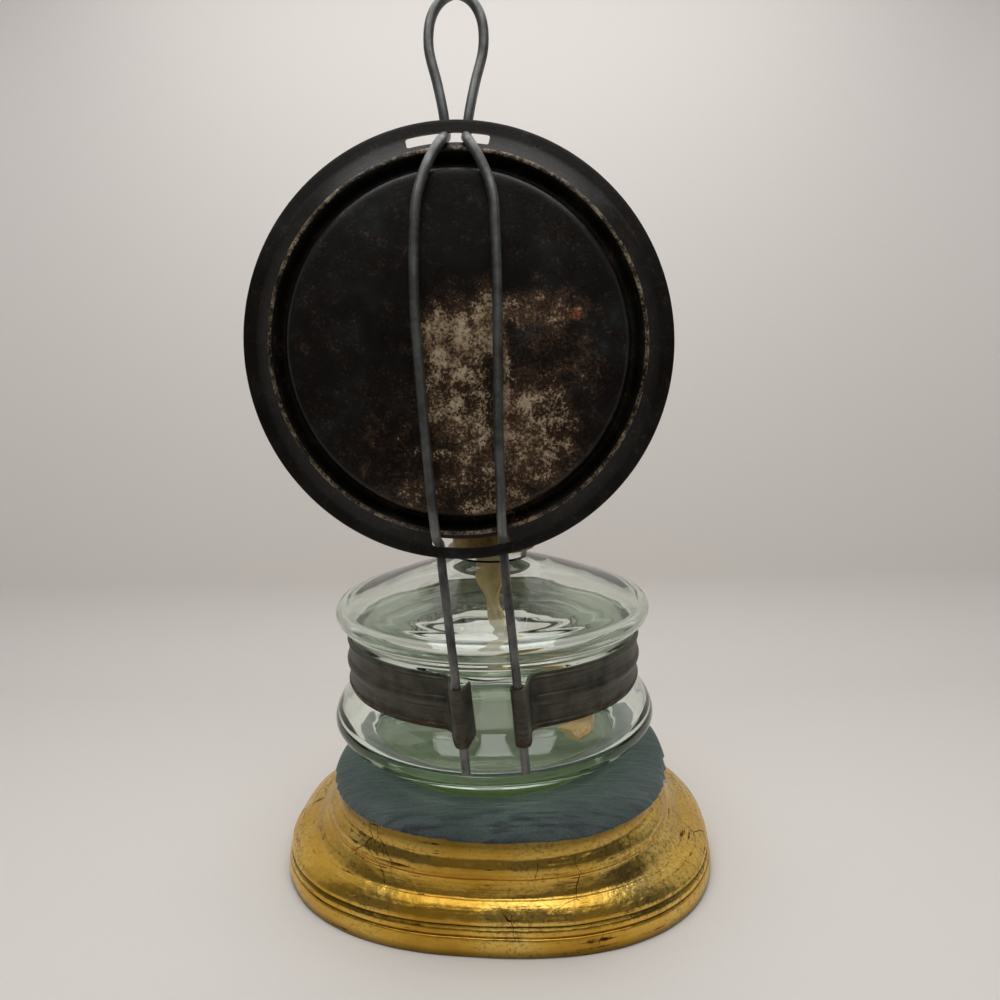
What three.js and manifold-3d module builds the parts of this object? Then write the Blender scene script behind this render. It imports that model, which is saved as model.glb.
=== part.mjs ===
// Kerosene lamp with a round tin reflector on a bent wire, standing on a gilded oval stand.
// Millimetres, +Z up. The origin is the centre of the lamp's axis on the stand's underside.
// The back of the reflector faces -Y, the flame side +Y.

import * as THREE from 'three';
import { mergeVertices } from 'three/addons/utils/BufferGeometryUtils.js';
import Module from 'manifold-3d';

const wasm = await Module();
wasm.setup();

// Clearances and facets
const seatGap = 0.3; // left between two pieces that touch
const cutOverrun = 2; // how far a cut runs past the wall it goes through
const wideFacets = 40;
const fontFacets = 36;
const collarFacets = 32;
const burnerFacets = 28;
const smallFacets = 24;
const tinyFacets = 12;
const cornerShare = 0.3; // how round a flat outline's corners are, as a share of its depth

// Stand and pad
const standLength = 166;
const standWidth = 134.6;
const standHeight = 37.6;
const standTopLength = 122;
const standTopWidth = 120.6;
const standSquareness = 2.38; // 2 is an ellipse
const standShift = new THREE.Vector2(1.2, 0.4); // the stand's centre from the lamp's axis
const standTurn = -5 * THREE.MathUtils.DEG2RAD; // how far the lamp stands turned on it
const mouldingRelief = 3.4; // full swing, on the diameter
const padLength = 129;
const padWidth = 128;
const padThickness = 4.7;
const padShift = new THREE.Vector2(2.6, -1.2);

// Glass font, heights from its foot
const footRadius = 45.5;
const footHeight = 6.6;
const footKick = 1.6; // how far the underside is pushed up at the centre
const lowerBulgeRadius = 61.9;
const lowerBulgeHeight = 16;
const waistRadius = 54.3;
const waistBottom = 29;
const waistTop = 49.6;
const upperBulgeRadius = 60;
const upperBulgeHeight = 57.5;
const shoulderHeight = 76.2;
const neckRadius = 13.6;
const glassWall = 2.8;
const neckWall = 1.8;
const fontFloor = 5.4; // height of the inner floor
const neckDrop = 2.2; // from the collar's crown down to the glass

// Collar, cemented over the neck
const collarRadius = 14.9;
const collarFlare = 16.9;
const collarSheet = 0.7;
const collarHem = 1.1; // height of its flared edge
const collarTop = 89;
const collarBottom = 79.4;
const threadBore = 10.75;
const threadDepth = 7.4;

// Strap round the waist, with a clip for each leg of the wire
const strapWidth = 18.8;
const strapSheet = 0.8;
const strapMiddle = 39.3; // height of the strap's middle
const strapRibHeight = 0.9;
const clipDrop = 0.9; // the strap's ends hang a little lower than the waist
const clipFlap = 3.9; // the left end's open flap
const clipFlapWrap = 118 * THREE.MathUtils.DEG2RAD; // how far the left end goes round its leg
const clipTubeWrap = 290 * THREE.MathUtils.DEG2RAD; // how far the right end does
const clipNeck = 8.5 * THREE.MathUtils.DEG2RAD; // from each leg to where the strap lies on the waist
const clipTurn = 62 * THREE.MathUtils.DEG2RAD; // how steeply the strap rises to its clips

// Bent wire
const wireDiameter = 2.8;
const legGap = 19; // between the two legs' centres, at the clips
const legStandOff = 63.2; // from the lamp's axis to the legs
const legEnd = 19.5;
const legMidAtEnd = 0.95; // x of the legs' midline at their lower end
const legLean = 4.9 * THREE.MathUtils.DEG2RAD;
const wireTop = 245.8;
const loopWidth = 15; // between centres
const wireBackStandOff = 1.9; // from the floor of the reflector to the wire's centre
const wireKink = 2.2; // how far from a slot the wire bends
const wireClear = 1.8; // between the wire and the ridge it passes over

// Reflector, seen from its back
const reflectorRadius = 61.5;
const reflectorHeight = 151.2;
const reflectorSide = -7.3; // x of its centre
const reflectorStandOff = 66; // from the lamp's axis to the rim's plane
const reflectorSheet = 0.8;
const lipWidth = 2.9;
const ridgeRadius = 52.8;
const ridgeRise = 5.2;
const ridgeHalf = 0.5; // half of the ridge's rounded top
const grooveRise = 1.3;
const floorRadius = 45.6;
const floorRise = 9.3;
const floorCrown = 0.9;
const slotRadius = 56.15;
const slotWidth = 4.2;
const slotSweep = 24.4 * THREE.MathUtils.DEG2RAD;
const topSlotTurn = 1.2 * THREE.MathUtils.DEG2RAD; // to the right of straight up
const bottomSlotTurn = 2.2 * THREE.MathUtils.DEG2RAD; // to the right of straight down

// Wick and its tube
const wickWidth = 12.6;
const wickThickness = 2.4;
const wickRise = 1.2; // above the tube's mouth
const wickClearance = 0.45;
const wickFeed = 4.2; // how far the raiser moves the wick each way
const tubeSheet = 0.6;
const tubeDrop = 6; // from the collar's top down to the tube's lower end

// Burner
const threadRingSheet = 1;
const threadRingFlange = 12.6;
const flangeSheet = 0.7;
const burnerSheet = 0.7;
const cupFloorRadius = 12;
const cupRadius = 17.4;
const cupHeight = 8.2;
const basketRadius = 18.6;
const basketHeight = 6.2;
const basketHoles = 16;
const basketHoleDiameter = 2.4;
const galleryRadius = 21.2;
const galleryOpening = 14;
const gallerySheet = 0.9;
const coneRadius = 17.2;
const coneHeight = 14.6;
const coneSlotLength = 16.6;
const coneSlotWidth = 5.6;
const coneSlotRise = 0.6; // where the slot begins, as a share of the cone's height
const tubeReach = 0.755; // where the wick tube ends, as a share of the cone's height

// Prongs that hold the chimney
const prongCount = 4;
const prongWidth = 5;
const prongSheet = 0.5;
const prongHeight = 13;
const prongBow = 1.8;

// Wick raiser
const spurRadius = 4.6;
const spurTeeth = 12;
const spurToothDepth = 1;
const spurThickness = 1.2;
const spurSpread = 3.4; // from the middle of the wick to each spur wheel
const shaftRadius = 1.1;
const shaftRun = 0.3; // clearance round the shaft
const shaftRise = 0.757; // where it passes, as a share of the cup's height
const shaftKnobEnd = 35.4;
const shaftInnerEnd = 8.6;
const earThickness = 0.8;
const earReach = 5.9;
const sleeveWall = 0.7;
const sleeveInner = 12.4;
const sleeveOuter = 25;
const knobRadius = 7.6;
const knobThickness = 4;
const knobHub = 3;
const knobHubLength = 2.6;
const knobNotches = 12;
const knobNotchRadius = 0.65;

// Chimney
const chimneyBaseRadius = 20.3;
const chimneyBulgeRadius = 28;
const chimneyTopRadius = 15.6;
const chimneyHeight = 114;
const chimneyWall = 1.6;

// Heights that follow
const fontSeat = standHeight + seatGap + padThickness + seatGap;
const wireRadius = wireDiameter / 2;
const neckTop = collarTop - neckDrop;
const strapOuter = waistRadius + 2 * seatGap + strapSheet;
const ringTop = collarTop + seatGap + flangeSheet;
const cupBottom = ringTop + seatGap;
const cupTop = cupBottom + cupHeight;
const basketBottom = cupTop + seatGap;
const galleryBottom = basketBottom + basketHeight + seatGap;
const gallerySeat = galleryBottom + gallerySheet;
const chimneyBottom = gallerySeat + seatGap;
const coneBottom = gallerySeat + seatGap;
const tubeBottom = collarTop - tubeDrop;
const tubeTop = coneBottom + coneHeight * tubeReach;
const shaftHeight = cupBottom + cupHeight * shaftRise;
const tubeLength = wickWidth + 2 * (wickClearance + tubeSheet);
const tubeDepth = wickThickness + 2 * (wickClearance + tubeSheet);
const spurTip = wickThickness / 2 + seatGap;
const shaftOffset = spurTip + spurRadius;

// Finishes
const glass = new THREE.MeshStandardMaterial({ color: 0xcfe0d4, roughness: 0.05, transparent: true, opacity: 0.35 });
const clearGlass = new THREE.MeshStandardMaterial({ color: 0xe8efec, roughness: 0.04, transparent: true, opacity: 0.3 });
const blackTin = new THREE.MeshStandardMaterial({ color: 0x2a2624, roughness: 0.45, metalness: 0.6 });
const strapTin = new THREE.MeshStandardMaterial({ color: 0x4a433d, roughness: 0.5, metalness: 0.8 });
const steelWire = new THREE.MeshStandardMaterial({ color: 0x6a6a68, roughness: 0.45, metalness: 0.9 });
const agedBrass = new THREE.MeshStandardMaterial({ color: 0x8a6a3a, roughness: 0.4, metalness: 1 });
const goldLeaf = new THREE.MeshStandardMaterial({ color: 0xc79a3c, roughness: 0.35, metalness: 1 });
const velvet = new THREE.MeshStandardMaterial({ color: 0x46565c, roughness: 1 });
const cotton = new THREE.MeshStandardMaterial({ color: 0xd8c9a4, roughness: 0.95 });

// Welds a geometry into a closed solid with its faces outward
function solidOf(geometry) {
  const bare = new THREE.BufferGeometry();
  bare.setAttribute('position', geometry.getAttribute('position').clone());
  if (geometry.index) bare.setIndex(geometry.index.clone());
  const welded = mergeVertices(bare, 1e-4);
  const corners = welded.getAttribute('position').array;
  const index = welded.index.array;
  const faces = [];
  for (let i = 0; i < index.length; i += 3) {
    const [a, b, c] = [index[i], index[i + 1], index[i + 2]];
    if (a !== b && b !== c && c !== a) faces.push([a, b, c]);
  }
  const corner = (i) => new THREE.Vector3(corners[3 * i], corners[3 * i + 1], corners[3 * i + 2]);
  const volume = faces.reduce((sum, [a, b, c]) => sum + corner(a).dot(corner(b).cross(corner(c))), 0);
  const triVerts = Uint32Array.from(faces.flatMap(([a, b, c]) => (volume < 0 ? [a, c, b] : [a, b, c])));
  const vertProperties = Float32Array.from(corners);
  return new wasm.Manifold(new wasm.Mesh({ numProp: 3, vertProperties, triVerts }));
}

function geometryOf(solid) {
  const { vertProperties, triVerts } = solid.getMesh();
  const geometry = new THREE.BufferGeometry();
  geometry.setAttribute('position', new THREE.BufferAttribute(Float32Array.from(vertProperties), 3));
  geometry.setIndex(Array.from(triVerts));
  geometry.computeVertexNormals();
  return geometry;
}

// Turns an outline of [radius, height] round the Z axis
function revolve(outline, facets) {
  const points = outline.map(([radius, height]) => new THREE.Vector2(radius, height));
  const turned = new THREE.LatheGeometry(points, facets);
  turned.rotateX(Math.PI / 2);
  return solidOf(turned);
}

// A smooth line through a few [radius, height] points
function smoothLine(points, pieces) {
  const curve = new THREE.SplineCurve(points.map(([x, y]) => new THREE.Vector2(x, y)));
  return curve.getPoints(pieces).map((p) => [p.x, p.y]);
}

// The same line, moved sideways by a distance (to its right for a positive one)
function offsetLine(line, distance) {
  return line.map((point, i) => {
    const before = line[Math.max(i - 1, 0)];
    const after = line[Math.min(i + 1, line.length - 1)];
    const along = new THREE.Vector2(after[0] - before[0], after[1] - before[1]).normalize();
    return [point[0] + along.y * distance, point[1] - along.x * distance];
  });
}

// An outline that is a sheet: a line and the same line moved by the sheet's thickness, closed on itself
function sheetOutline(line, thickness) {
  const outline = [...line, ...offsetLine(line, thickness).reverse()];
  return [...outline, outline[0]];
}

// Places shares of a size between a start and an end on each axis
function between(start, end, shares) {
  return shares.map(([across, up]) => [
    THREE.MathUtils.lerp(start[0], end[0], across),
    THREE.MathUtils.lerp(start[1], end[1], up),
  ]);
}

// A closed body between two grids of points that face each other
function sheetBetween(front, back) {
  const rows = front.length;
  const columns = front[0].length;
  const positions = [...front.flat(), ...back.flat()].flatMap((p) => [p.x, p.y, p.z]);
  const index = [];
  const at = (side, row, column) => side * rows * columns + row * columns + column;
  const quad = (a, b, c, d) => index.push(a, b, c, a, c, d);
  for (let i = 0; i + 1 < rows; i += 1) {
    for (let j = 0; j + 1 < columns; j += 1) {
      quad(at(0, i, j), at(0, i, j + 1), at(0, i + 1, j + 1), at(0, i + 1, j));
      quad(at(1, i, j), at(1, i + 1, j), at(1, i + 1, j + 1), at(1, i, j + 1));
    }
    quad(at(0, i, 0), at(0, i + 1, 0), at(1, i + 1, 0), at(1, i, 0));
    quad(at(0, i, columns - 1), at(1, i, columns - 1), at(1, i + 1, columns - 1), at(0, i + 1, columns - 1));
  }
  for (let j = 0; j + 1 < columns; j += 1) {
    quad(at(0, 0, j), at(1, 0, j), at(1, 0, j + 1), at(0, 0, j + 1));
    quad(at(0, rows - 1, j), at(0, rows - 1, j + 1), at(1, rows - 1, j + 1), at(1, rows - 1, j));
  }
  const geometry = new THREE.BufferGeometry();
  geometry.setAttribute('position', new THREE.Float32BufferAttribute(positions, 3));
  geometry.setIndex(index);
  return solidOf(geometry);
}

// A closed body through level rings of points, flat at both ends
function loftRings(rings) {
  const count = rings[0].length;
  const ends = [rings[0], rings[rings.length - 1]].map((ring) =>
    ring.reduce((sum, p) => sum.add(p), new THREE.Vector3()).divideScalar(count));
  const positions = [...rings.flat(), ...ends].flatMap((p) => [p.x, p.y, p.z]);
  const low = rings.length * count;
  const index = [];
  for (let j = 0; j < count; j += 1) {
    const next = (j + 1) % count;
    for (let i = 0; i + 1 < rings.length; i += 1) {
      const [a, b] = [i * count + j, i * count + next];
      index.push(a, b, b + count, a, b + count, a + count);
    }
    index.push(low, next, j, low + 1, low - count + j, low - count + next);
  }
  const geometry = new THREE.BufferGeometry();
  geometry.setAttribute('position', new THREE.Float32BufferAttribute(positions, 3));
  geometry.setIndex(index);
  return solidOf(geometry);
}

// A level ring that is an oval with a little squareness, about a centre
function ovalRing(centre, length, width, height, facets) {
  return Array.from({ length: facets }, (_, i) => {
    const turn = (2 * Math.PI * i) / facets;
    const [c, s] = [Math.cos(turn), Math.sin(turn)];
    const power = 2 / standSquareness;
    const spot = new THREE.Vector2(
      (length / 2) * Math.sign(c) * Math.abs(c) ** power,
      (width / 2) * Math.sign(s) * Math.abs(s) ** power,
    ).rotateAround(new THREE.Vector2(), standTurn).add(centre);
    return new THREE.Vector3(spot.x, spot.y, height);
  });
}

// A block, a rod along an axis and a flat plate with an outline, as solids
function block(width, depth, height, x, y, z) {
  return solidOf(new THREE.BoxGeometry(width, depth, height).translate(x, y, z));
}

function rodAlongX(radius, from, to, y, z, facets) {
  const rod = new THREE.CylinderGeometry(radius, radius, Math.abs(to - from), facets);
  return solidOf(rod.rotateZ(Math.PI / 2).translate((from + to) / 2, y, z));
}

function roundedOutline(length, depth) {
  const radius = depth * cornerShare;
  const [x, y] = [length / 2 - radius, depth / 2 - radius];
  const shape = new THREE.Shape();
  shape.absarc(x, -y, radius, -Math.PI / 2, 0);
  shape.absarc(x, y, radius, 0, Math.PI / 2);
  shape.absarc(-x, y, radius, Math.PI / 2, Math.PI);
  shape.absarc(-x, -y, radius, Math.PI, Math.PI * 1.5);
  return shape;
}

function extrude(shape, height, z, curveSegments = 2) {
  const plate = new THREE.ExtrudeGeometry(shape, { depth: height, bevelEnabled: false, curveSegments });
  return solidOf(plate.translate(0, 0, z));
}

// The moulded oval stand: its outline flares most at the two ends
function makeStand() {
  // depth from the top, how far the flare has gone, and the moulding's own relief, as shares
  const mouldingShares = [
    [0, 0, 0], [0.13, 0.04, 0.1], [0.18, 0.08, -0.45], [0.22, 0.14, 0.05], [0.28, 0.2, 0.35],
    [0.35, 0.27, -0.1], [0.41, 0.38, -0.75], [0.49, 0.56, -0.7], [0.6, 0.78, 0.15], [0.69, 0.92, 0.75],
    [0.725, 0.95, 0.3], [0.755, 0.97, 0.75], [0.785, 0.98, 0.85], [0.815, 0.99, 0.45], [0.845, 1, 0.9],
    [0.95, 1, 1], [1, 1, 0.5],
  ];
  const rings = mouldingShares.map(([depth, flare, swell]) => ovalRing(
    standShift,
    THREE.MathUtils.lerp(standTopLength, standLength - mouldingRelief, flare) + mouldingRelief * swell,
    THREE.MathUtils.lerp(standTopWidth, standWidth - mouldingRelief, flare) + mouldingRelief * swell,
    standHeight * (1 - depth),
    wideFacets,
  ));
  return loftRings(rings.reverse());
}

// The velvet pad, crowned so that the font's foot stands on its flat middle
function makePad() {
  const crownShares = [[0.965, 0], [1, 0.16], [0.985, 0.42], [0.93, 0.72], [0.84, 0.92], [0.74, 1]];
  return loftRings(crownShares.map(([spread, rise]) => ovalRing(
    padShift, padLength * spread, padWidth * spread,
    standHeight + seatGap + padThickness * rise, wideFacets,
  )));
}

// The blown glass font: foot, two bulges with a waist for the strap, dome and neck
function makeFont() {
  const footShares = [[0, 1], [0.55, 0.9], [0.86, 0.25], [0.93, 0]];
  const floorShares = [[1, 0.32], [0.9, 0], [0, 0]];
  const underside = footShares.map(([across, up]) => [footRadius * across, footKick * up]);
  const footLine = smoothLine([
    [footRadius, footKick], [footRadius + footKick / 2, footHeight / 2], [footRadius + footKick, footHeight],
  ], 3);
  const bulgeFoot = [footRadius + footKick, footHeight];
  const lowerEquator = [lowerBulgeRadius, lowerBulgeHeight];
  const upperEquator = [upperBulgeRadius, upperBulgeHeight];
  const lowerBulge = smoothLine([
    ...between(bulgeFoot, lowerEquator, [[0.03, 0.04], [0.44, 0.24], [0.8, 0.52]]),
    ...between(lowerEquator, [waistRadius, waistBottom], [[0, 0], [0.16, 0.36], [0.62, 0.76], [1, 1]]),
  ], 8);
  const upperBulge = smoothLine([
    ...between([waistRadius, waistTop], upperEquator, [[0, 0], [0.22, 0.2], [0.82, 0.6], [1, 1]]),
    ...between(upperEquator, [neckRadius, shoulderHeight], [
      [0.03, 0.155], [0.11, 0.26], [0.22, 0.36], [0.37, 0.49], [0.54, 0.64], [0.73, 0.79], [0.92, 0.93], [0.99, 0.985],
    ]),
  ], 13);
  const wallLine = [...lowerBulge, ...upperBulge];
  const inside = offsetLine(wallLine, -glassWall).filter(([radius, height], i) =>
    i % 2 === 0 && height > fontFloor + glassWall / 2 && radius > neckRadius + glassWall / 2);
  const neckInside = neckRadius - neckWall;
  return revolve([
    ...underside, ...footLine, ...wallLine,
    [neckRadius, shoulderHeight + neckWall], [neckRadius, neckTop], [neckInside, neckTop],
    [neckInside, shoulderHeight], ...inside.reverse(),
    ...floorShares.map(([across, up]) => [footRadius * across, fontFloor + glassWall * up]),
  ], fontFacets);
}

// The collar: a turned-over cup that caps the neck, with the thread's sleeve inside it
function makeCollar() {
  const crown = collarTop - collarSheet;
  const sleeve = threadBore + collarSheet;
  return revolve([
    [threadBore, collarTop - threadDepth], [sleeve, collarTop - threadDepth], [sleeve, crown],
    [collarRadius - collarSheet, crown], [collarRadius - collarSheet, collarBottom + collarHem],
    [collarFlare - collarSheet, collarBottom], [collarFlare, collarBottom + collarSheet / 2],
    [collarRadius, collarBottom + collarHem + collarSheet / 2], [collarRadius, crown],
    [collarRadius - collarSheet, collarTop], [threadBore, collarTop],
    [threadBore, collarTop - threadDepth],
  ], collarFacets);
}

// x of the middle between the two legs, at a height
function legMidline(height) {
  return legMidAtEnd - Math.tan(legLean) * (height - legEnd);
}

// The strap's path in plan, from the left clip's flap round the back of the waist to the right clip
function strapPath() {
  const middle = strapOuter - strapSheet / 2;
  const wrap = wireRadius + seatGap + strapSheet / 2;
  const height = strapMiddle - clipDrop;
  const flapShares = [1, 0.5];
  const neckShares = [0.15, 0.32, 0.5, 0.68, 0.85];
  const path = [];
  const outward = (angle) => new THREE.Vector2(Math.cos(angle), Math.sin(angle));
  const clipFor = (side) => new THREE.Vector2(legMidline(height) + (side * legGap) / 2, -legStandOff);
  const legAngle = (side) => Math.atan2(clipFor(side).y, clipFor(side).x);
  const leaveAngle = (side) => legAngle(side) + side * clipTurn;
  const waistAngle = (side) => legAngle(side) + side * clipNeck;
  const onWrap = (side, angle) => {
    const out = outward(angle);
    path.push({ point: clipFor(side).addScaledVector(out, wrap), out, clip: 1, rib: 0, flap: 0 });
  };
  const wrapSteps = 6;
  const flapTurn = leaveAngle(-1) + clipFlapWrap;
  for (const share of flapShares) {
    onWrap(-1, flapTurn);
    const root = path.pop();
    const along = new THREE.Vector2(-root.out.y, root.out.x);
    path.push({ ...root, point: root.point.addScaledVector(along, clipFlap * share), flap: share });
  }
  for (let i = 0; i <= wrapSteps; i += 1) {
    onWrap(-1, THREE.MathUtils.lerp(flapTurn, leaveAngle(-1), i / wrapSteps));
  }
  // an S-shaped neck from the clip down to the waist
  const neck = (side, shares) => {
    const near = clipFor(side).addScaledVector(outward(leaveAngle(side)), wrap);
    const far = outward(waistAngle(side)).multiplyScalar(middle);
    const reach = near.distanceTo(far) / 2;
    const nearHandle = near.clone().addScaledVector(outward(leaveAngle(side) + (side * Math.PI) / 2), reach);
    const farHandle = far.clone().addScaledVector(outward(waistAngle(side) - (side * Math.PI) / 2), reach);
    const curve = new THREE.CubicBezierCurve(near, nearHandle, farHandle, far);
    for (const share of shares) {
      const along = curve.getTangent(share);
      const out = new THREE.Vector2(side * along.y, -side * along.x);
      path.push({ point: curve.getPoint(share), out, clip: 1 - share, rib: share ** 2, flap: 0 });
    }
  };
  neck(-1, neckShares);
  const arcSteps = 32;
  const arcEnd = waistAngle(1) - 2 * Math.PI;
  for (let i = 0; i <= arcSteps; i += 1) {
    const out = outward(THREE.MathUtils.lerp(waistAngle(-1), arcEnd, i / arcSteps));
    path.push({ point: out.clone().multiplyScalar(middle), out, clip: 0, rib: 1, flap: 0 });
  }
  neck(1, [...neckShares].reverse());
  const tubeSteps = 12;
  const tubeTurn = leaveAngle(1) - clipTubeWrap;
  for (let i = 0; i <= tubeSteps; i += 1) {
    onWrap(1, THREE.MathUtils.lerp(leaveAngle(1), tubeTurn, i / tubeSteps));
  }
  return path;
}

// The tin strap, ribbed lengthwise, its ends folded round the legs
function makeStrap() {
  const ribShares = [[0, 0], [0.08, 0.6], [0.16, 0], [0.34, 0], [0.5, 1], [0.66, 0], [0.84, 0], [0.92, 0.6], [1, 0]];
  const flapLift = { low: 0.85, high: 0.45 }; // how far the flap's corners rise, as shares of its length
  const grids = [1, -1].map((face) => strapPath().map(({ point, out, clip, rib, flap }) => {
    const low = strapMiddle - strapWidth / 2 - clipDrop * clip + clipFlap * flapLift.low * flap;
    const high = strapMiddle + strapWidth / 2 - clipDrop * clip + clipFlap * flapLift.high * flap;
    return ribShares.map(([across, swell]) => {
      const height = THREE.MathUtils.lerp(low, high, across);
      const lean = clip * (legMidline(height) - legMidline(strapMiddle - clipDrop));
      const reach = (face * strapSheet) / 2 + strapRibHeight * swell * rib;
      return new THREE.Vector3(point.x + out.x * reach + lean, point.y + out.y * reach, height);
    });
  }));
  return sheetBetween(grids[0], grids[1]);
}

// The wire: up one leg, through the reflector's slots and across its back, round the hanging loop and down
function wireRoute() {
  const front = -legStandOff;
  const back = -(reflectorStandOff + floorRise + floorCrown + wireBackStandOff);
  const overRidge = -(reflectorStandOff + ridgeRise + wireRadius + wireClear);
  const inSlot = -(reflectorStandOff + ridgeRise / 2);
  const offRidge = (2 * back + overRidge) / 3;
  const crest = ridgeRadius + 2 * seatGap;
  const half = legGap / 2;
  const legTop = reflectorHeight - reflectorRadius - wireDiameter;
  const topRim = reflectorHeight + reflectorRadius;
  const legShares = [0, 0.2, 0.4, 0.6, 0.8, 1];
  // through a slot and over the ridge: distance from the reflector's centre, depth, half gap, midline
  const lowCrossings = [
    [slotRadius + wireKink, front, 1, 0.71], [slotRadius, inSlot, 1, 0.72], [crest, overRidge, 1, 0.74],
    [floorRadius + lipWidth, offRidge, 1, 0.77],
  ];
  const highCrossings = [
    [floorRadius + lipWidth, offRidge, 0.72, 0.93], [crest, overRidge, 0.42, 0.93],
    [slotRadius, inSlot, 0.32, 0.94], [slotRadius + wireKink, front, 0.3, 0.94],
  ];
  // across the floor: height from its centre, half gap and midline, as shares
  const acrossShares = [
    [-0.91, 1.02, 0.8], [-0.557, 1.06, 0.9], [-0.155, 1.12, 0.96], [0.25, 1.17, 1], [0.66, 1.13, 0.98],
    [0.874, 1.03, 0.94],
  ];
  // the hanging loop: height from the rim to its top, half its width, then its midline, as shares
  const loopShares = [
    [0.06, 0.46, 0.914], [0.3, 0.68, 0.89], [0.6, 1, 0.86], [0.82, 0.9, 0.838], [0.95, 0.52, 0.825],
  ];
  const loopMiddle = 0.82;
  const crossing = (side, way) => ([radius, depth, gap, mid]) => {
    const x = reflectorSide * mid + side * half * gap;
    return new THREE.Vector3(x, depth, reflectorHeight + way * Math.sqrt(radius ** 2 - (x - reflectorSide) ** 2));
  };
  const leg = (side) => [
    ...legShares.map((share) => {
      const height = THREE.MathUtils.lerp(legEnd, legTop, share);
      return new THREE.Vector3(legMidline(height) + side * half, front, height);
    }),
    ...lowCrossings.map(crossing(side, -1)),
    ...acrossShares.map(([up, gap, mid]) => new THREE.Vector3(
      reflectorSide * mid + side * half * gap, back, reflectorHeight + floorRadius * up,
    )),
    ...highCrossings.map(crossing(side, 1)),
    ...loopShares.map(([up, spread, mid]) => new THREE.Vector3(
      reflectorSide * mid + side * (loopWidth / 2) * spread, front, THREE.MathUtils.lerp(topRim, wireTop, up),
    )),
  ];
  return [...leg(-1), new THREE.Vector3(reflectorSide * loopMiddle, front, wireTop), ...leg(1).reverse()];
}

function makeWire() {
  const curve = new THREE.CatmullRomCurve3(wireRoute(), false, 'centripetal');
  const section = new THREE.Shape();
  section.absarc(0, 0, wireRadius, 0, 2 * Math.PI);
  return solidOf(new THREE.ExtrudeGeometry(section, {
    extrudePath: curve, steps: 110, curveSegments: 4, bevelEnabled: false,
  }));
}

// An arc-shaped cutter through the flange, centred on a turn from straight up
function slotCutter(turn) {
  const [inner, outer] = [slotRadius - slotWidth / 2, slotRadius + slotWidth / 2];
  const [from, to] = [turn - slotSweep / 2, turn + slotSweep / 2];
  const arc = new THREE.Shape();
  arc.absarc(0, 0, outer, from, to, false);
  arc.absarc(0, 0, inner, to, from, true);
  return extrude(arc, floorRise + 2 * cutOverrun, -cutOverrun, 8);
}

// The reflector: a pressed pan with a raised ridge and floor, seen here with its back up the Z axis
function makeReflector() {
  const lipInner = reflectorRadius - lipWidth;
  const floorShares = [[0.55, 0.7], [0, 1]];
  const profile = [
    [reflectorRadius, 0], [reflectorRadius - ridgeHalf, reflectorSheet], [lipInner, grooveRise],
    ...between([lipInner, grooveRise], [ridgeRadius, ridgeRise], [[0.5, 0.4], [0.86, 0.84], [1, 1]]),
    [ridgeRadius - ridgeHalf, ridgeRise],
    ...between([ridgeRadius - 2 * ridgeHalf, ridgeRise], [floorRadius + lipWidth, grooveRise],
      [[0.1, 0.22], [0.38, 0.85], [0.55, 1], [0.85, 1]]),
    ...between([floorRadius + lipWidth, grooveRise], [floorRadius, floorRise], [[0, 0.12], [0.5, 0.84], [1, 1]]),
    ...floorShares.map(([across, up]) => [floorRadius * across, floorRise + floorCrown * up]),
  ];
  const pan = revolve([...profile, ...offsetLine(profile, -reflectorSheet).reverse().map(([radius, rise], i) =>
    [i ? radius : 0, rise]), profile[0]], wideFacets);
  return pan.subtract(slotCutter(Math.PI / 2 - topSlotTurn)).subtract(slotCutter(bottomSlotTurn - Math.PI / 2));
}

// The male thread's sleeve under the burner, with the flange that lands on the collar
function makeThreadRing() {
  const outer = threadBore - seatGap;
  const inner = outer - threadRingSheet;
  const seat = collarTop + seatGap;
  return revolve([
    [inner, collarTop - threadDepth], [outer, collarTop - threadDepth], [outer, seat],
    [threadRingFlange, seat], [threadRingFlange, ringTop], [inner, ringTop],
    [inner, collarTop - threadDepth],
  ], smallFacets);
}

// A cutter that passes the wick tube with its clearance
function tubeCutter(bottom, top) {
  return extrude(roundedOutline(tubeLength + 2 * seatGap, tubeDepth + 2 * seatGap), top - bottom, bottom);
}

// The burner's cup, with a slot for the wick tube and a hole for the raiser's sleeve
function makeCup() {
  const line = [
    [0, cupBottom], [cupFloorRadius, cupBottom],
    ...between([cupFloorRadius, cupBottom], [cupRadius, cupTop], [[0.35, 0.1], [0.72, 0.45], [0.95, 0.82]]),
    [basketRadius, cupTop - burnerSheet],
  ];
  const shell = revolve([...line, ...offsetLine(line, -burnerSheet).reverse().map(([radius, height], i, all) =>
    [i === all.length - 1 ? 0 : radius, height])], burnerFacets);
  const sleeveHole = rodAlongX(shaftRadius + shaftRun + sleeveWall + seatGap, -basketRadius - cutOverrun,
    -shaftInnerEnd, shaftOffset, shaftHeight, tinyFacets);
  return shell.subtract(tubeCutter(cupBottom - cutOverrun, cupTop)).subtract(sleeveHole);
}

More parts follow.
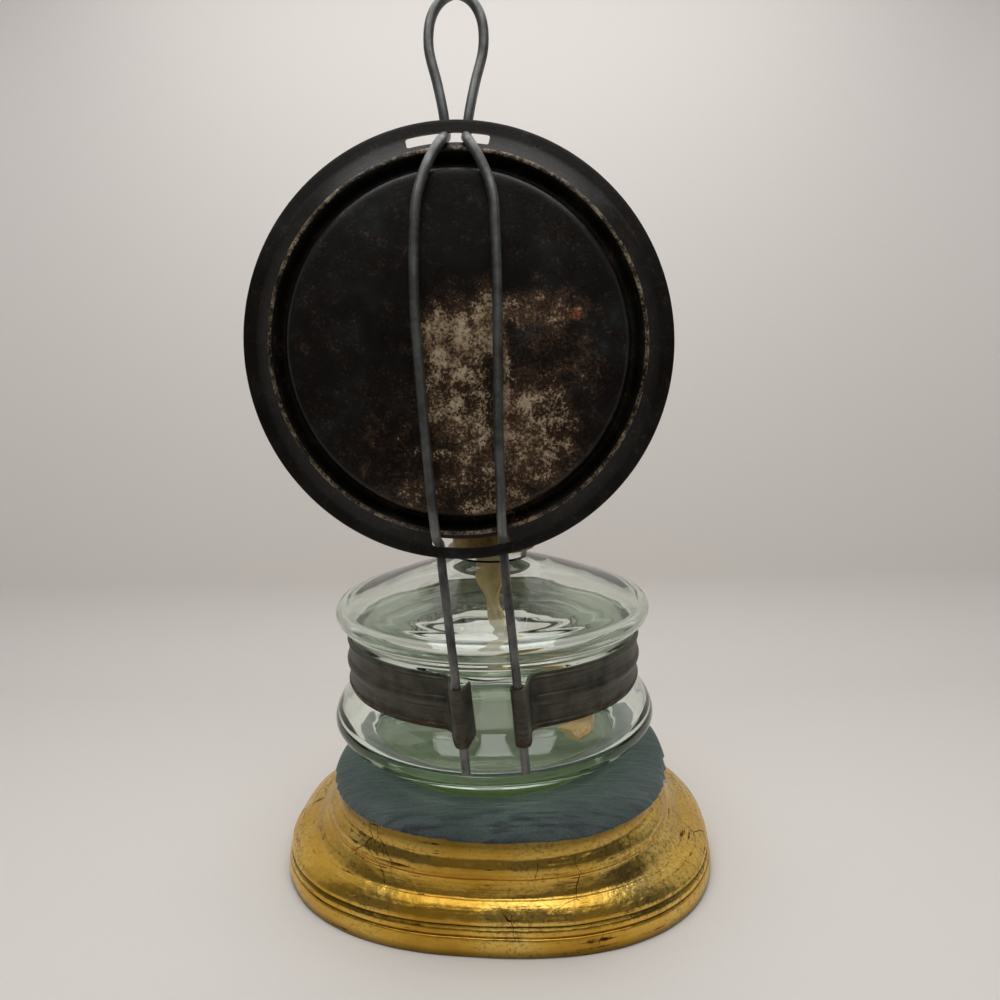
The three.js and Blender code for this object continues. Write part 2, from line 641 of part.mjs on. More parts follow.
// The perforated basket that feeds air to the flame
function makeBasket() {
  const top = basketBottom + basketHeight;
  const shell = revolve([
    [basketRadius - burnerSheet, basketBottom], [basketRadius, basketBottom], [basketRadius, top - burnerSheet],
    [basketRadius - burnerSheet, top], [galleryOpening, top], [galleryOpening, top - burnerSheet],
    [basketRadius - 2 * burnerSheet, top - burnerSheet], [basketRadius - burnerSheet, top - 2 * burnerSheet],
    [basketRadius - burnerSheet, basketBottom],
  ], basketHoles * 2);
  let perforated = shell;
  const middle = basketBottom + basketHeight / 2 - seatGap;
  for (let i = 0; i < basketHoles; i += 1) {
    const hole = new THREE.CylinderGeometry(basketHoleDiameter / 2, basketHoleDiameter / 2, 2 * cutOverrun, 8);
    hole.rotateZ(Math.PI / 2).translate(basketRadius, 0, middle).rotateZ((2 * Math.PI * (i + 0.5)) / basketHoles);
    perforated = perforated.subtract(solidOf(hole));
  }
  return perforated;
}

// The flat wick tube, with two windows for the spur wheels and two ears that carry their shaft
function makeWickTube() {
  const height = tubeTop - tubeBottom;
  let tube = extrude(roundedOutline(tubeLength, tubeDepth), height, tubeBottom);
  const earMiddle = tubeLength / 2 - earThickness;
  const wallMiddle = tubeDepth / 2 - tubeSheet / 2;
  const earDepth = shaftOffset + earReach / 2 - wallMiddle;
  for (const side of [-1, 1]) {
    const ear = block(earThickness, earDepth, earReach, side * earMiddle, wallMiddle + earDepth / 2, shaftHeight);
    tube = tube.add(ear);
  }
  const hollow = extrude(roundedOutline(wickWidth + 2 * wickClearance, wickThickness + 2 * wickClearance),
    height + 2 * cutOverrun, tubeBottom - cutOverrun);
  tube = tube.subtract(hollow);
  for (const side of [-1, 1]) {
    const window = block(spurThickness + 4 * seatGap, 2 * tubeDepth, 2 * spurRadius + 4 * seatGap,
      side * spurSpread, tubeDepth + spurTip - wickClearance, shaftHeight);
    tube = tube.subtract(window);
  }
  return tube.subtract(rodAlongX(shaftRadius + shaftRun, -tubeLength, tubeLength, shaftOffset, shaftHeight, tinyFacets));
}

// The gallery plate that the chimney and the flame cone stand on
function makeGallery() {
  return revolve([
    [galleryOpening, galleryBottom], [galleryRadius, galleryBottom], [galleryRadius, gallerySeat],
    [galleryOpening, gallerySeat], [galleryOpening, galleryBottom],
  ], burnerFacets);
}

// The flame cone: a domed cap with the slot that the flame burns in
function makeCone() {
  const line = [
    [coneRadius, coneBottom],
    ...between([coneRadius, coneBottom], [0, coneBottom + coneHeight],
      [[0.03, 0.1], [0.06, 0.34], [0.16, 0.6], [0.34, 0.8], [0.6, 0.93]]),
    [0, coneBottom + coneHeight],
  ];
  const shell = revolve([...line, ...offsetLine(line, -burnerSheet).reverse().map(([radius, height], i) =>
    [i ? radius : 0, height]), line[0]], burnerFacets);
  const slotBottom = coneBottom + coneHeight * coneSlotRise;
  return shell.subtract(extrude(roundedOutline(coneSlotLength, coneSlotWidth), coneHeight, slotBottom));
}

// One spring prong, bowed out and back in to press on the chimney's foot
function makeProng(turn) {
  const foot = galleryRadius + seatGap;
  const bowShares = [[0, 0], [0.35, 0.2], [1, 0.45], [-0.08, 0.8], [1, 1]];
  const line = smoothLine(bowShares.map(([bow, up]) => [foot + prongBow * bow, galleryBottom + prongHeight * up]), 9);
  const grid = (rows) => rows.map(([radius, height]) => [-0.5, 0.5].map((share) =>
    new THREE.Vector3(radius, prongWidth * share, height).applyAxisAngle(new THREE.Vector3(0, 0, 1), turn)));
  return sheetBetween(grid(offsetLine(line, prongSheet)), grid(line));
}

// The raiser: its sleeve in the cup's wall, the shaft, two toothed wheels and the knob
function makeSleeve() {
  const inner = shaftRadius + shaftRun;
  const tube = rodAlongX(inner + sleeveWall, -sleeveOuter, -sleeveInner, shaftOffset, shaftHeight, tinyFacets);
  return tube.subtract(rodAlongX(inner, -sleeveOuter - cutOverrun, -sleeveInner + cutOverrun,
    shaftOffset, shaftHeight, tinyFacets));
}

function makeShaft() {
  return rodAlongX(shaftRadius, -shaftKnobEnd, shaftInnerEnd, shaftOffset, shaftHeight, tinyFacets);
}

function makeSpur(side) {
  const star = new THREE.Shape(Array.from({ length: 2 * spurTeeth }, (_, i) => {
    const turn = (Math.PI * i) / spurTeeth;
    const radius = spurRadius - (i % 2 ? spurToothDepth : 0);
    return new THREE.Vector2(radius * Math.cos(turn), radius * Math.sin(turn));
  }));
  const bore = new THREE.Path();
  bore.absarc(0, 0, shaftRadius + seatGap, 0, 2 * Math.PI, true);
  star.holes.push(bore);
  const wheel = new THREE.ExtrudeGeometry(star, { depth: spurThickness, bevelEnabled: false, curveSegments: 6 });
  wheel.translate(0, 0, -spurThickness / 2).rotateY(Math.PI / 2);
  return solidOf(wheel.translate(side * spurSpread, shaftOffset, shaftHeight));
}

function makeKnob() {
  const bore = shaftRadius + seatGap;
  const faceShares = [[0.94, 0], [1, 0.15], [1, 0.8], [0.9, 1], [0.55, 0.75], [0, 0.8]];
  const seat = knobHubLength + 0.3 * knobThickness; // where the shaft's end stops inside
  const turned = new THREE.LatheGeometry([
    [bore, 0], [knobHub, 0], [knobHub, knobHubLength],
    ...faceShares.map(([across, along]) => [knobRadius * across, knobHubLength + knobThickness * along]),
    [0, seat], [bore, seat], [bore, 0],
  ].map(([radius, along]) => new THREE.Vector2(radius, along)), smallFacets);
  const face = seat - shaftKnobEnd - seatGap;
  let knob = solidOf(turned.rotateZ(Math.PI / 2).translate(face, shaftOffset, shaftHeight));
  for (let i = 0; i < knobNotches; i += 1) {
    const turn = (2 * Math.PI * i) / knobNotches;
    knob = knob.subtract(rodAlongX(knobNotchRadius, face - knobHubLength - knobThickness - cutOverrun,
      face - knobHubLength, shaftOffset + knobRadius * Math.cos(turn), shaftHeight + knobRadius * Math.sin(turn), 6));
  }
  return knob;
}

// The flat cotton wick: straight through the tube, then twisting and curling to lie low in the font
function makeWick() {
  const top = tubeTop + wickRise;
  const loose = shoulderHeight - glassWall;
  const low = fontFloor + wickWidth / 2 + wickFeed;
  const reach = waistRadius;
  const routeShares = [
    // across, towards the back, height between the low end and the neck, then the width's direction
    [0, 0, 1, 1, 0, 0], [-0.02, 0, 0.84, 0.85, -0.5, 0], [0, -0.02, 0.68, 0.3, -0.95, 0],
    [0.03, -0.05, 0.54, 0.5, -0.85, 0.1], [0.13, -0.1, 0.43, -0.1, -0.6, 0.75],
    [0.3, -0.16, 0.36, -0.25, -0.45, 0.85], [0.46, -0.22, 0.26, -0.1, -0.5, 0.85],
    [0.57, -0.28, 0.12, 0.35, -0.65, 0.6], [0.6, -0.33, -0.02, 0.6, -0.75, 0.2],
    [0.52, -0.37, -0.06, 0.5, -0.8, 0.1],
  ];
  const straightShares = [0, 0.3, 0.6, 0.85];
  const stations = straightShares.map((share) => ({
    point: new THREE.Vector3(0, 0, THREE.MathUtils.lerp(top, loose, share)), wide: new THREE.Vector3(1, 0, 0),
  }));
  for (const [across, back, up, x, y, z] of routeShares) {
    stations.push({
      point: new THREE.Vector3(reach * across, reach * back, THREE.MathUtils.lerp(low, loose, up)),
      wide: new THREE.Vector3(x, y, z),
    });
  }
  const route = new THREE.CatmullRomCurve3(stations.map((s) => s.point), false, 'centripetal');
  const widths = new THREE.CatmullRomCurve3(stations.map((s) => s.wide), false, 'centripetal');
  const steps = 44;
  const grids = [1, -1].map((face) => Array.from({ length: steps + 1 }, (_, i) => {
    const at = i / steps;
    const along = route.getTangent(at);
    const wide = widths.getPoint(at);
    wide.addScaledVector(along, -wide.dot(along)).normalize();
    const out = along.clone().cross(wide);
    return [-0.5, 0.5].map((share) => route.getPoint(at)
      .addScaledVector(wide, wickWidth * share).addScaledVector(out, (face * wickThickness) / 2));
  }));
  return sheetBetween(grids[0], grids[1]);
}

// The chimney: a straight foot, a bulge at the flame and a drawn-in top
function makeChimney() {
  const footShares = [[1, 0], [1, 0.07], [0.93, 0.1], [0.95, 0.11]];
  const bulgeShares = [[0.9, 0.17], [1, 0.26], [0.86, 0.38]];
  const topShares = [[1.08, 0.58], [0.96, 0.8], [1, 1]];
  const ring = (radius, shares) => shares.map(([across, up]) => [radius * across, chimneyBottom + chimneyHeight * up]);
  const foot = ring(chimneyBaseRadius, footShares);
  const body = smoothLine([
    foot.pop(), ...ring(chimneyBulgeRadius, bulgeShares), ...ring(chimneyTopRadius, topShares),
  ], 10);
  return revolve(sheetOutline([...foot, ...body], -chimneyWall), burnerFacets);
}

// Assembly
const lamp = new THREE.Group();
const above = new THREE.Group();
above.position.z = fontSeat;
lamp.add(above);

function add(group, name, solid, material) {
  const piece = new THREE.Mesh(geometryOf(solid), material);
  piece.name = name;
  group.add(piece);
  return piece;
}

add(lamp, 'stand_base', makeStand(), goldLeaf);
add(lamp, 'velvet_pad', makePad(), velvet);

add(above, 'glass_font', makeFont(), glass);
add(above, 'font_collar', makeCollar(), agedBrass);
add(above, 'waist_strap', makeStrap(), strapTin);
add(above, 'bent_wire', makeWire(), steelWire);
const reflector = add(above, 'reflector', makeReflector(), blackTin);
reflector.rotation.x = Math.PI / 2;
reflector.position.set(reflectorSide, -reflectorStandOff, reflectorHeight);

add(above, 'burner_thread_ring', makeThreadRing(), agedBrass);
add(above, 'burner_cup', makeCup(), agedBrass);
add(above, 'air_basket', makeBasket(), agedBrass);
add(above, 'wick_tube', makeWickTube(), agedBrass);
add(above, 'gallery_plate', makeGallery(), agedBrass);
add(above, 'flame_cone', makeCone(), agedBrass);
for (let i = 0; i < prongCount; i += 1) {
  add(above, `chimney_prong_${i + 1}`, makeProng((2 * Math.PI * (i + 0.5)) / prongCount), agedBrass);
}
add(above, 'raiser_sleeve', makeSleeve(), agedBrass);
add(above, 'raiser_shaft', makeShaft(), steelWire);
add(above, 'spur_wheel_left', makeSpur(-1), agedBrass);
add(above, 'spur_wheel_right', makeSpur(1), agedBrass);
add(above, 'raiser_knob', makeKnob(), agedBrass);
add(above, 'wick', makeWick(), cotton);
add(above, 'chimney', makeChimney(), clearGlass);

export default lamp;
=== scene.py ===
import math
from functools import partial

import bmesh
import bpy
import numpy as np
from bpy.props import FloatProperty, IntProperty, PointerProperty, StringProperty
from mathutils import Matrix, Vector, noise


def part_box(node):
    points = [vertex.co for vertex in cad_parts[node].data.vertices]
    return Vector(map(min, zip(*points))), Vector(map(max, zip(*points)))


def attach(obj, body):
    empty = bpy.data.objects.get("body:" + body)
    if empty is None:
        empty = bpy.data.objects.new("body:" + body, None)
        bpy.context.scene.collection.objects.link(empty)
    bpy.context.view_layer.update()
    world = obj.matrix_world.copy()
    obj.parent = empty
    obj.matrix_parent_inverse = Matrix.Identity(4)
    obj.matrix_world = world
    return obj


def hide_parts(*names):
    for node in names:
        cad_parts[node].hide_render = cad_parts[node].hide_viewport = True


bl_info = {
    "name": "Kerosene reflector lamp",
    "version": (1, 0, 0),
    "blender": (4, 5, 0),
    "location": "View3D > Sidebar > Lamp",
    "description": "Builds a glass kerosene lamp with a tin reflector, on its gilded stand",
    "category": "Object",
}

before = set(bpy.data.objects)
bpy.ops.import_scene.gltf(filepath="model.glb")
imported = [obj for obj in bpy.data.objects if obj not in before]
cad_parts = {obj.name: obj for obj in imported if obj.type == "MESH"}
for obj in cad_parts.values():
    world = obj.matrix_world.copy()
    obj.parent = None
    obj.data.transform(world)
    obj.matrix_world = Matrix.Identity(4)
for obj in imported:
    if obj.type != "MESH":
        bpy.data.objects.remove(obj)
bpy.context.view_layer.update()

MM = 0.001
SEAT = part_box("glass_font")[0].z  # height of the font's foot
FACETS = 160  # round the large turned pieces
SMALL_FACETS = 96  # round the burner's pieces
GAP = 0.3 * MM  # left between two pieces that touch
TUBE_SHEET = 0.6 * MM  # of the flat wick tube
FLAP_WRAP = math.radians(118)  # how far the strap's left end goes round its leg
TUBE_WRAP = math.radians(290)  # how far its right end does
SHARP = math.radians(38)  # edges steeper than this are shaded sharp
WELD = 1e-7  # points nearer than this are one
CAMERA_AT = Vector((3.58, -284.66, 183.17)) * MM
CAMERA_PITCH, CAMERA_ROLL = math.radians(-8.59), math.radians(-1.0)
SENSOR, LENS = 36.0, 27.0  # in mm
STAND_RINGS, STAND_FACETS = 84, 240
SLOT_SWEEP = math.radians(23.3)  # of each of the reflector's slots
SLOT_TURNS = math.radians(90 + 1.75), math.radians(2.2 - 90)  # the top one and the bottom one
TUBE_REACH, SHAFT_REACH = 0.755, 0.757  # shares of the cone's and the cup's height
SHAFT_FACETS, KNOB_FACETS = 48, 288
FULL_TURN = 2 * math.pi


# Numbers and lines

def linear(code):
    """An sRGB hex colour as the linear colour that a socket takes."""
    parts = [int(code[i:i + 2], 16) / 255 for i in (1, 3, 5)]
    return (*[c / 12.92 if c <= 0.04045 else ((c + 0.055) / 1.055) ** 2.4 for c in parts], 1.0)


def lerp(a, b, share):
    return a + (b - a) * share


def between(start, end, shares):
    """Points at shares of the way from a start to an end, on each axis."""
    return [[lerp(a, b, s) for a, b, s in zip(start, end, pair)] for pair in shares]


def smooth_line(points, count):
    """Points on a smooth curve through a few (a centripetal Catmull-Rom spline), evenly spread."""
    p = np.array(points, float)
    p = np.vstack([2 * p[0] - p[1], p, 2 * p[-1] - p[-2]])
    t = np.concatenate([[0], np.cumsum(np.linalg.norm(np.diff(p, axis=0), axis=1) ** 0.5)])
    line = []
    for w in np.linspace(t[1], t[-2], 6 * count):
        i = int(np.clip(np.searchsorted(t, w, side="right") - 1, 1, len(p) - 3))
        q, u = p[i - 1:i + 3], t[i - 1:i + 3]
        for first, last in (((0, 1, 2), (1, 2, 3)), ((0, 1), (2, 3)), ((1,), (2,))):
            q = [lerp(q[k], q[k + 1], (w - u[a]) / (u[b] - u[a])) for k,
                 (a, b) in enumerate(zip(first, last))]
        line.append(q[0])
    return even(np.array(line), count)


def even(line, count):
    """The same line with its points evenly spread along it."""
    line = np.array(line, float)
    far = np.concatenate([[0], np.cumsum(np.linalg.norm(np.diff(line, axis=0), axis=1))])
    at = np.linspace(0, far[-1], count)
    return np.stack([np.interp(at, far, line[:, k]) for k in range(line.shape[1])], axis=1)


def offset_line(line, distance):
    """A line in the plane moved sideways, to its right for a positive distance."""
    line = np.array(line, float)
    along = np.gradient(line, axis=0)
    along /= np.linalg.norm(along, axis=1)[:, None]
    return line + np.stack([along[:, 1], -along[:, 0]], axis=1) * distance


def rounded(points, radius, steps=3, closed=False):
    """An outline with each corner replaced by a short curve that starts a radius away from it."""
    points = [np.array(p, float) for p in points]
    count = len(points)
    line = []
    for i, point in enumerate(points):
        if not closed and i in (0, count - 1):
            line.append(point)
            continue
        before, after = points[i - 1] - point, points[(i + 1) % count] - point
        reach = [min(radius, 0.45 * np.linalg.norm(side)) / np.linalg.norm(side)
                 for side in (before, after)]
        start, end = point + before * reach[0], point + after * reach[1]
        for share in np.linspace(0, 1, steps + 1):
            line.append(lerp(lerp(start, point, share), lerp(point, end, share), share))
    return np.array(line)


def even_turns(count):
    return np.arange(count) * FULL_TURN / count


def turned(outline, facets, centre=(0, 0)):
    """Sections of an outline of (radius, height) turned round the upright axis through a centre."""
    outline = np.array(outline, float)
    turns = even_turns(facets)
    return np.stack([np.stack([centre[0] + outline[:, 0] * math.cos(t),
                               centre[1] + outline[:, 0] * math.sin(t), outline[:, 1]], axis=1)
                     for t in turns])


def sheet(line, thickness):
    """A closed outline round a line of sheet metal."""
    return np.vstack([line, offset_line(line, thickness)[::-1]])


# Meshes

def added(name, data):
    """A new object in the scene, at the origin."""
    thing = bpy.data.objects.new(name, data)
    bpy.context.scene.collection.objects.link(thing)
    return thing


def loft(name, sections, closed_path=False, closed_section=True, slots=None):
    """A closed mesh through a row of sections, with a UV map in metres along and across them."""
    grid = np.array(sections, float)
    rows, columns = grid.shape[:2]
    at = np.arange(rows * columns).reshape(rows, columns)
    row_steps = rows if closed_path else rows - 1
    column_steps = columns if closed_section else columns - 1
    r, c = [x.ravel() for x in np.meshgrid(np.arange(row_steps), np.arange(column_steps),
                                           indexing="ij")]
    r1, c1 = (r + 1) % rows, (c + 1) % columns
    faces = np.stack([at[r, c], at[r, c1], at[r1, c1], at[r1, c]], axis=1)
    lengths = []
    for axis in (0, 1):
        step = np.linalg.norm(np.roll(grid, -1, axis) - grid, axis=2).mean(axis=1 - axis)
        lengths.append(np.concatenate([[0], np.cumsum(step)]))
    along, across = lengths
    uv = np.stack([np.stack([along[r + dr], across[c + dc]], axis=1) for dr,
                   dc in ((0, 0), (0, 1), (1, 1), (1, 0))], axis=1)
    mesh = bpy.data.meshes.new(name)
    mesh.from_pydata(grid.reshape(-1, 3), [], faces.tolist())
    mesh.uv_layers.new(name="UVMap").data.foreach_set("uv", uv.reshape(-1))
    if slots is not None:
        mesh.polygons.foreach_set("material_index", np.array(slots, int)[c])
    work = bmesh.new()
    work.from_mesh(mesh)
    work.verts.ensure_lookup_table()
    if closed_section and not closed_path:
        for row in (at[0], at[-1]):
            work.faces.new([work.verts[i] for i in row])
    return finished(name, work, mesh)


def finished(name, work, mesh):
    """A smooth-shaded object of a bmesh, doubled points merged and faces turned outwards."""
    bmesh.ops.remove_doubles(work, verts=work.verts, dist=WELD)
    bmesh.ops.recalc_face_normals(work, faces=work.faces)
    work.to_mesh(mesh)
    work.free()
    mesh.shade_smooth()
    mesh.set_sharp_from_angle(angle=SHARP)
    return added(name, mesh)


def move(piece, matrix):
    """Moves the mesh itself, so that the object stays at the origin."""
    piece.data.transform(matrix)
    return piece


def modified(piece, kind, **settings):
    """Applies one modifier to a piece."""
    modifier = piece.modifiers.new(kind.title(), kind)
    for name, value in settings.items():
        setattr(modifier, name, value)
    return applied(piece)


def applied(piece):
    """Turns what a piece's modifiers show into its own mesh, and removes them."""
    shown = piece.evaluated_get(bpy.context.evaluated_depsgraph_get())
    mesh = bpy.data.meshes.new_from_object(shown)
    old = piece.data
    piece.modifiers.clear()
    piece.data = mesh
    mesh.name = piece.name
    bpy.data.meshes.remove(old)
    return piece


def cut(piece, *cutters):
    """Cuts closed shapes out of a piece."""
    for cutter in cutters:
        modified(piece, "BOOLEAN", operation="DIFFERENCE", object=cutter, solver="EXACT")
        bpy.data.objects.remove(cutter)
    return piece


def place(piece, body, materials, replaces=()):
    """Gives a piece its materials and its body, and hides the nodes it stands for."""
    for material in materials:
        piece.data.materials.append(material)
    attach(piece, body)
    if replaces:
        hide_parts(*replaces)
    return piece


# Node trees

def fill(node, inputs):
    """Fills a node's sockets with values, hex colours, or what other nodes or sockets give."""
    for key, value in inputs.items() if isinstance(inputs, dict) else enumerate(inputs):
        if isinstance(value, bpy.types.Node):
            value = next(socket for socket in value.outputs if socket.enabled)
        if isinstance(value, bpy.types.NodeSocket):
            node.id_data.links.new(value, node.inputs[key])
        else:
            is_colour = isinstance(value, str) and value.startswith("#")
            node.inputs[key].default_value = linear(value) if is_colour else value


def add_node(tree, kind, inputs=(), ramp=(), **settings):
    """Adds a node with its settings and links; a shader node's kind is given without ShaderNode."""
    family = "" if kind.startswith(("GeometryNode", "FunctionNode", "NodeGroup")) else "ShaderNode"
    made = tree.nodes.new(family + kind)
    for name, value in settings.items():
        setattr(made, name, value)
    fill(made, inputs)
    if ramp:
        stops = made.color_ramp.elements
        while len(stops) < len(ramp):
            stops.new(0.5)
        for stop, (position, colour) in zip(stops, ramp):
            stop.position = position
            stop.color = linear(colour) if isinstance(colour, str) else (colour, colour, colour, 1)
    return made


def new_material(name, **constants):
    """A material, the function that adds its nodes, its shader and its output node."""
    material = bpy.data.materials.new(name)
    material.use_nodes = True
    material.node_tree.nodes.clear()
    node = partial(add_node, material.node_tree)
    shader = node("BsdfPrincipled", {k.replace("_", " "): v for k, v in constants.items()})
    return material, node, shader, node("OutputMaterial", {"Surface": shader})


def gold_leaf(stand_height):
    """Gold leaf over red-brown bole on gessoed wood.

    A deep yellow mirror, broken by strokes, rubs and cracks."""
    material, node, shader, _ = new_material("gold_leaf_on_gesso", Metallic=1.0)
    surface = node("TexCoord").outputs["UV"]
    place_at = node("TexCoord").outputs["Object"]
    tone = node("TexNoise", {"Vector": place_at, "Scale": 26.0, "Detail": 5.0})
    # the burnisher's strokes run along the moulding, about 1 mm wide and 20 mm long
    strokes = node("Mapping", {"Vector": surface, "Scale": (900.0, 45.0, 1.0)})
    strokes = node("TexNoise", {"Vector": strokes, "Scale": 1.0, "Detail": 6.0})
    leaf = node("ValToRGB", [tone], ramp=[(0.30, "#B98A2C"), (0.45, "#DDAF48"), (0.58, "#EBC463"),
                                          (0.75, "#F5D886")])
    streak = node("MapRange", [strokes, 0.42, 0.7, 0.0, 0.18])
    leaf = node("Mix", {0: streak, 6: leaf, 7: "#96691E"}, data_type="RGBA", blend_type="MIX")
    # the leaf is rubbed through to the bole in small spots and along strokes
    rub = node("TexNoise", {"Vector": place_at, "Scale": 95.0, "Detail": 9.0, "Roughness": 0.7})
    rub = node("Math", [rub, strokes], operation="MULTIPLY")
    rub = node("MapRange", [rub, 0.335, 0.40, 0.0, 1.0])
    leaf = node("Mix", {0: rub, 6: leaf, 7: "#5A3412"}, data_type="RGBA")
    # flecks of bole as small as 1 mm, thick in some places and missing in others
    flecks = node("TexNoise", {"Vector": place_at, "Scale": 800.0, "Detail": 4.0,
                               "Roughness": 0.65})
    flecks = node("Math", [tone, 0.6, flecks], operation="MULTIPLY_ADD")
    flecks = node("MapRange", [flecks, 0.84, 0.98, 0.0, 0.5])
    leaf = node("Mix", {0: flecks, 6: leaf, 7: "#7A4E18"}, data_type="RGBA")
    # fine cracks in the gesso, 10 to 20 mm apart, that run where a slow noise lets them
    bent = node("TexNoise", {"Vector": place_at, "Scale": 60.0, "Detail": 3.0})
    bent = node("VectorMath", {0: bent.outputs["Color"], 3: 0.009}, operation="SCALE")
    bent = node("VectorMath", [place_at, bent], operation="ADD")
    cracks = node("TexVoronoi", {"Vector": bent, "Scale": 75.0}, feature="DISTANCE_TO_EDGE")
    allowed = node("TexNoise", {"Vector": place_at, "Scale": 34.0, "Detail": 2.0})
    allowed = node("MapRange", [allowed, 0.55, 0.63, 0.0, 0.010])
    crack = node("Math", [cracks.outputs["Distance"], allowed], operation="LESS_THAN")
    leaf = node("Mix", {0: crack, 6: leaf, 7: "#5E3E14"}, data_type="RGBA")
    # painted shade by height: darker along the foot's lower edge, in the grooves and coves of the
    # moulding, and in the band under the pad's edge
    height = node("SeparateXYZ", [place_at])
    height = node("Math", [height.outputs[2], stand_height], operation="DIVIDE")
    painted_shade = node("ValToRGB", [height], ramp=[(0.0, 0.18), (0.045, 0.45), (0.09, 0.9), (0.175, 1.0),
                                             (0.19, 0.6), (0.205, 1.0), (0.240, 1.0), (0.262, 0.25),
                                             (0.283, 0.3), (0.305, 1.0), (0.45, 1.0), (0.52, 0.8),
                                             (0.62, 0.95), (0.72, 0.75), (0.80, 0.85), (0.86, 0.7),
                                             (0.92, 0.35)])
    leaf = node("VectorMath", [leaf, painted_shade], operation="MULTIPLY")
    dull = node("MapRange", [tone, 0.35, 0.65, 0.40, 0.28])
    dull = node("Math", [rub, 0.3, dull], operation="MULTIPLY_ADD")
    relief = node("Math", [crack, -2.0, strokes], operation="MULTIPLY_ADD")
    bump = node("Bump", {"Height": relief, "Strength": 0.5, "Distance": 0.0002})
    dents = node("TexNoise", {"Vector": place_at, "Scale": 230.0, "Detail": 4.0})
    bump = node("Bump", {"Height": dents, "Strength": 0.9, "Distance": 0.0005, "Normal": bump})
    fill(shader, {"Base Color": leaf, "Roughness": dull, "Normal": bump})
    return material


def velvet():
    """Cotton velvet: a short pile, dark from above and pale at a grazing angle."""
    material, node, shader, _ = new_material("cotton_velvet", Roughness=1.0, Sheen_Weight=0.9,
                                             Sheen_Roughness=0.35, Sheen_Tint="#A9B4B3")
    place_at = node("TexCoord").outputs["Object"]
    patches = node("TexNoise", {"Vector": place_at, "Scale": 30.0, "Detail": 4.0})
    pile = node("ValToRGB", [patches], ramp=[(0.32, "#343D3D"), (0.5, "#434C4B"),
                                             (0.68, "#515958")])
    # ridges of brushed pile, 2 mm apart, that lean to the left
    brushed = node("Mapping", {"Vector": place_at, "Rotation": (0, 0, math.radians(-52)),
                               "Scale": (90.0, 480.0, 90.0)})
    brushed = node("TexNoise", {"Vector": brushed, "Scale": 1.0, "Detail": 4.0})
    front = node("SeparateXYZ", [place_at])
    front = node("MapRange", [front.outputs[1], -0.040, -0.058, 0.12, 0.85])
    ridge = node("MapRange", [brushed, 0.46, 0.62, 0.0, 1.0])
    ridge = node("Math", [ridge, front], operation="MULTIPLY")
    pile = node("Mix", {0: ridge, 6: pile, 7: "#262730"}, data_type="RGBA")
    # single tufts, drawn 0.5 mm apart, as coarse as they need to show
    tufts = node("TexNoise", {"Vector": place_at, "Scale": 1900.0, "Detail": 2.0})
    fleck = node("MapRange", [tufts, 0.3, 0.7, 0.72, 1.25])
    pile = node("VectorMath", {0: pile, 3: fleck}, operation="SCALE")
    bump = node("Bump", {"Height": tufts, "Strength": 0.8, "Distance": 0.0004})
    bump = node("Bump", {"Height": brushed, "Strength": 0.5, "Distance": 0.0012, "Normal": bump})
    fill(shader, {"Base Color": pile, "Normal": bump})
    return material


def blown_glass(name, tint, density, ripple, foot_top=0.0):
    """Soda-lime glass blown in a mould: clear, green only where thick, wavy from the mould."""
    material, node, shader, output = new_material(name, Roughness=0.0, IOR=1.5)
    place_at = node("TexCoord").outputs["Object"]
    # waves 25 mm across, and chill marks that run level, 5 mm apart
    waves = node("TexNoise", {"Vector": place_at, "Scale": 40.0, "Detail": 1.0})
    marks = node("Mapping", {"Vector": place_at, "Scale": (18.0, 18.0, 210.0)})
    marks = node("TexNoise", {"Vector": marks, "Scale": 1.0, "Detail": 2.5})
    bump = node("Bump", {"Height": waves, "Strength": 1.0, "Distance": 3 * ripple})
    bump = node("Bump", {"Height": marks, "Strength": 1.0, "Distance": ripple, "Normal": bump})
    # the foot's thick glass is greener, and partly matt there: a painted glow that stands for the
    # light gathered inside it
    height = node("SeparateXYZ", [place_at])
    foot = node("MapRange", [height.outputs[2], foot_top - 0.004, foot_top, 1.0, 0.0])
    colour = node("Mix", {0: foot, 6: (1, 1, 1, 1), 7: "#BCC49A"}, data_type="RGBA")
    clear = node("MapRange", [foot, 0.0, 1.0, 1.0, 0.82])
    # lamps shine through to what is behind and inside
    rays = node("LightPath")
    through = node("BsdfTransparent", {"Color": (0.93, 0.95, 0.93, 1)})
    glass = node("MixShader", {0: rays.outputs["Is Shadow Ray"], 1: shader, 2: through})
    fill(output, {"Surface": glass})
    inside = node("VolumeAbsorption", {"Color": tint, "Density": density})
    fill(output, {"Volume": inside})
    fill(shader, {"Normal": bump, "Base Color": colour, "Transmission Weight": clear})
    return material


def worn_places(node, place_at, spots):
    """How near a point is to any of some oval spots: x, z, half width, half height, strength."""
    total = None
    for x, z, wide, high, strength in spots:
        spot = node("VectorMath", [place_at, (x, 0, z)], operation="SUBTRACT")
        spot = node("VectorMath", [spot, (1 / wide, 0, 1 / high)], operation="MULTIPLY")
        spot = node("VectorMath", [spot], operation="LENGTH")
        spot = node("MapRange", [spot.outputs["Value"], 0.45, 1.25, strength, 0.0],
                    interpolation_type="SMOOTHSTEP")
        if total is not None:
            spot = node("Math", [spot, total], operation="MAXIMUM")
        total = spot
    return total


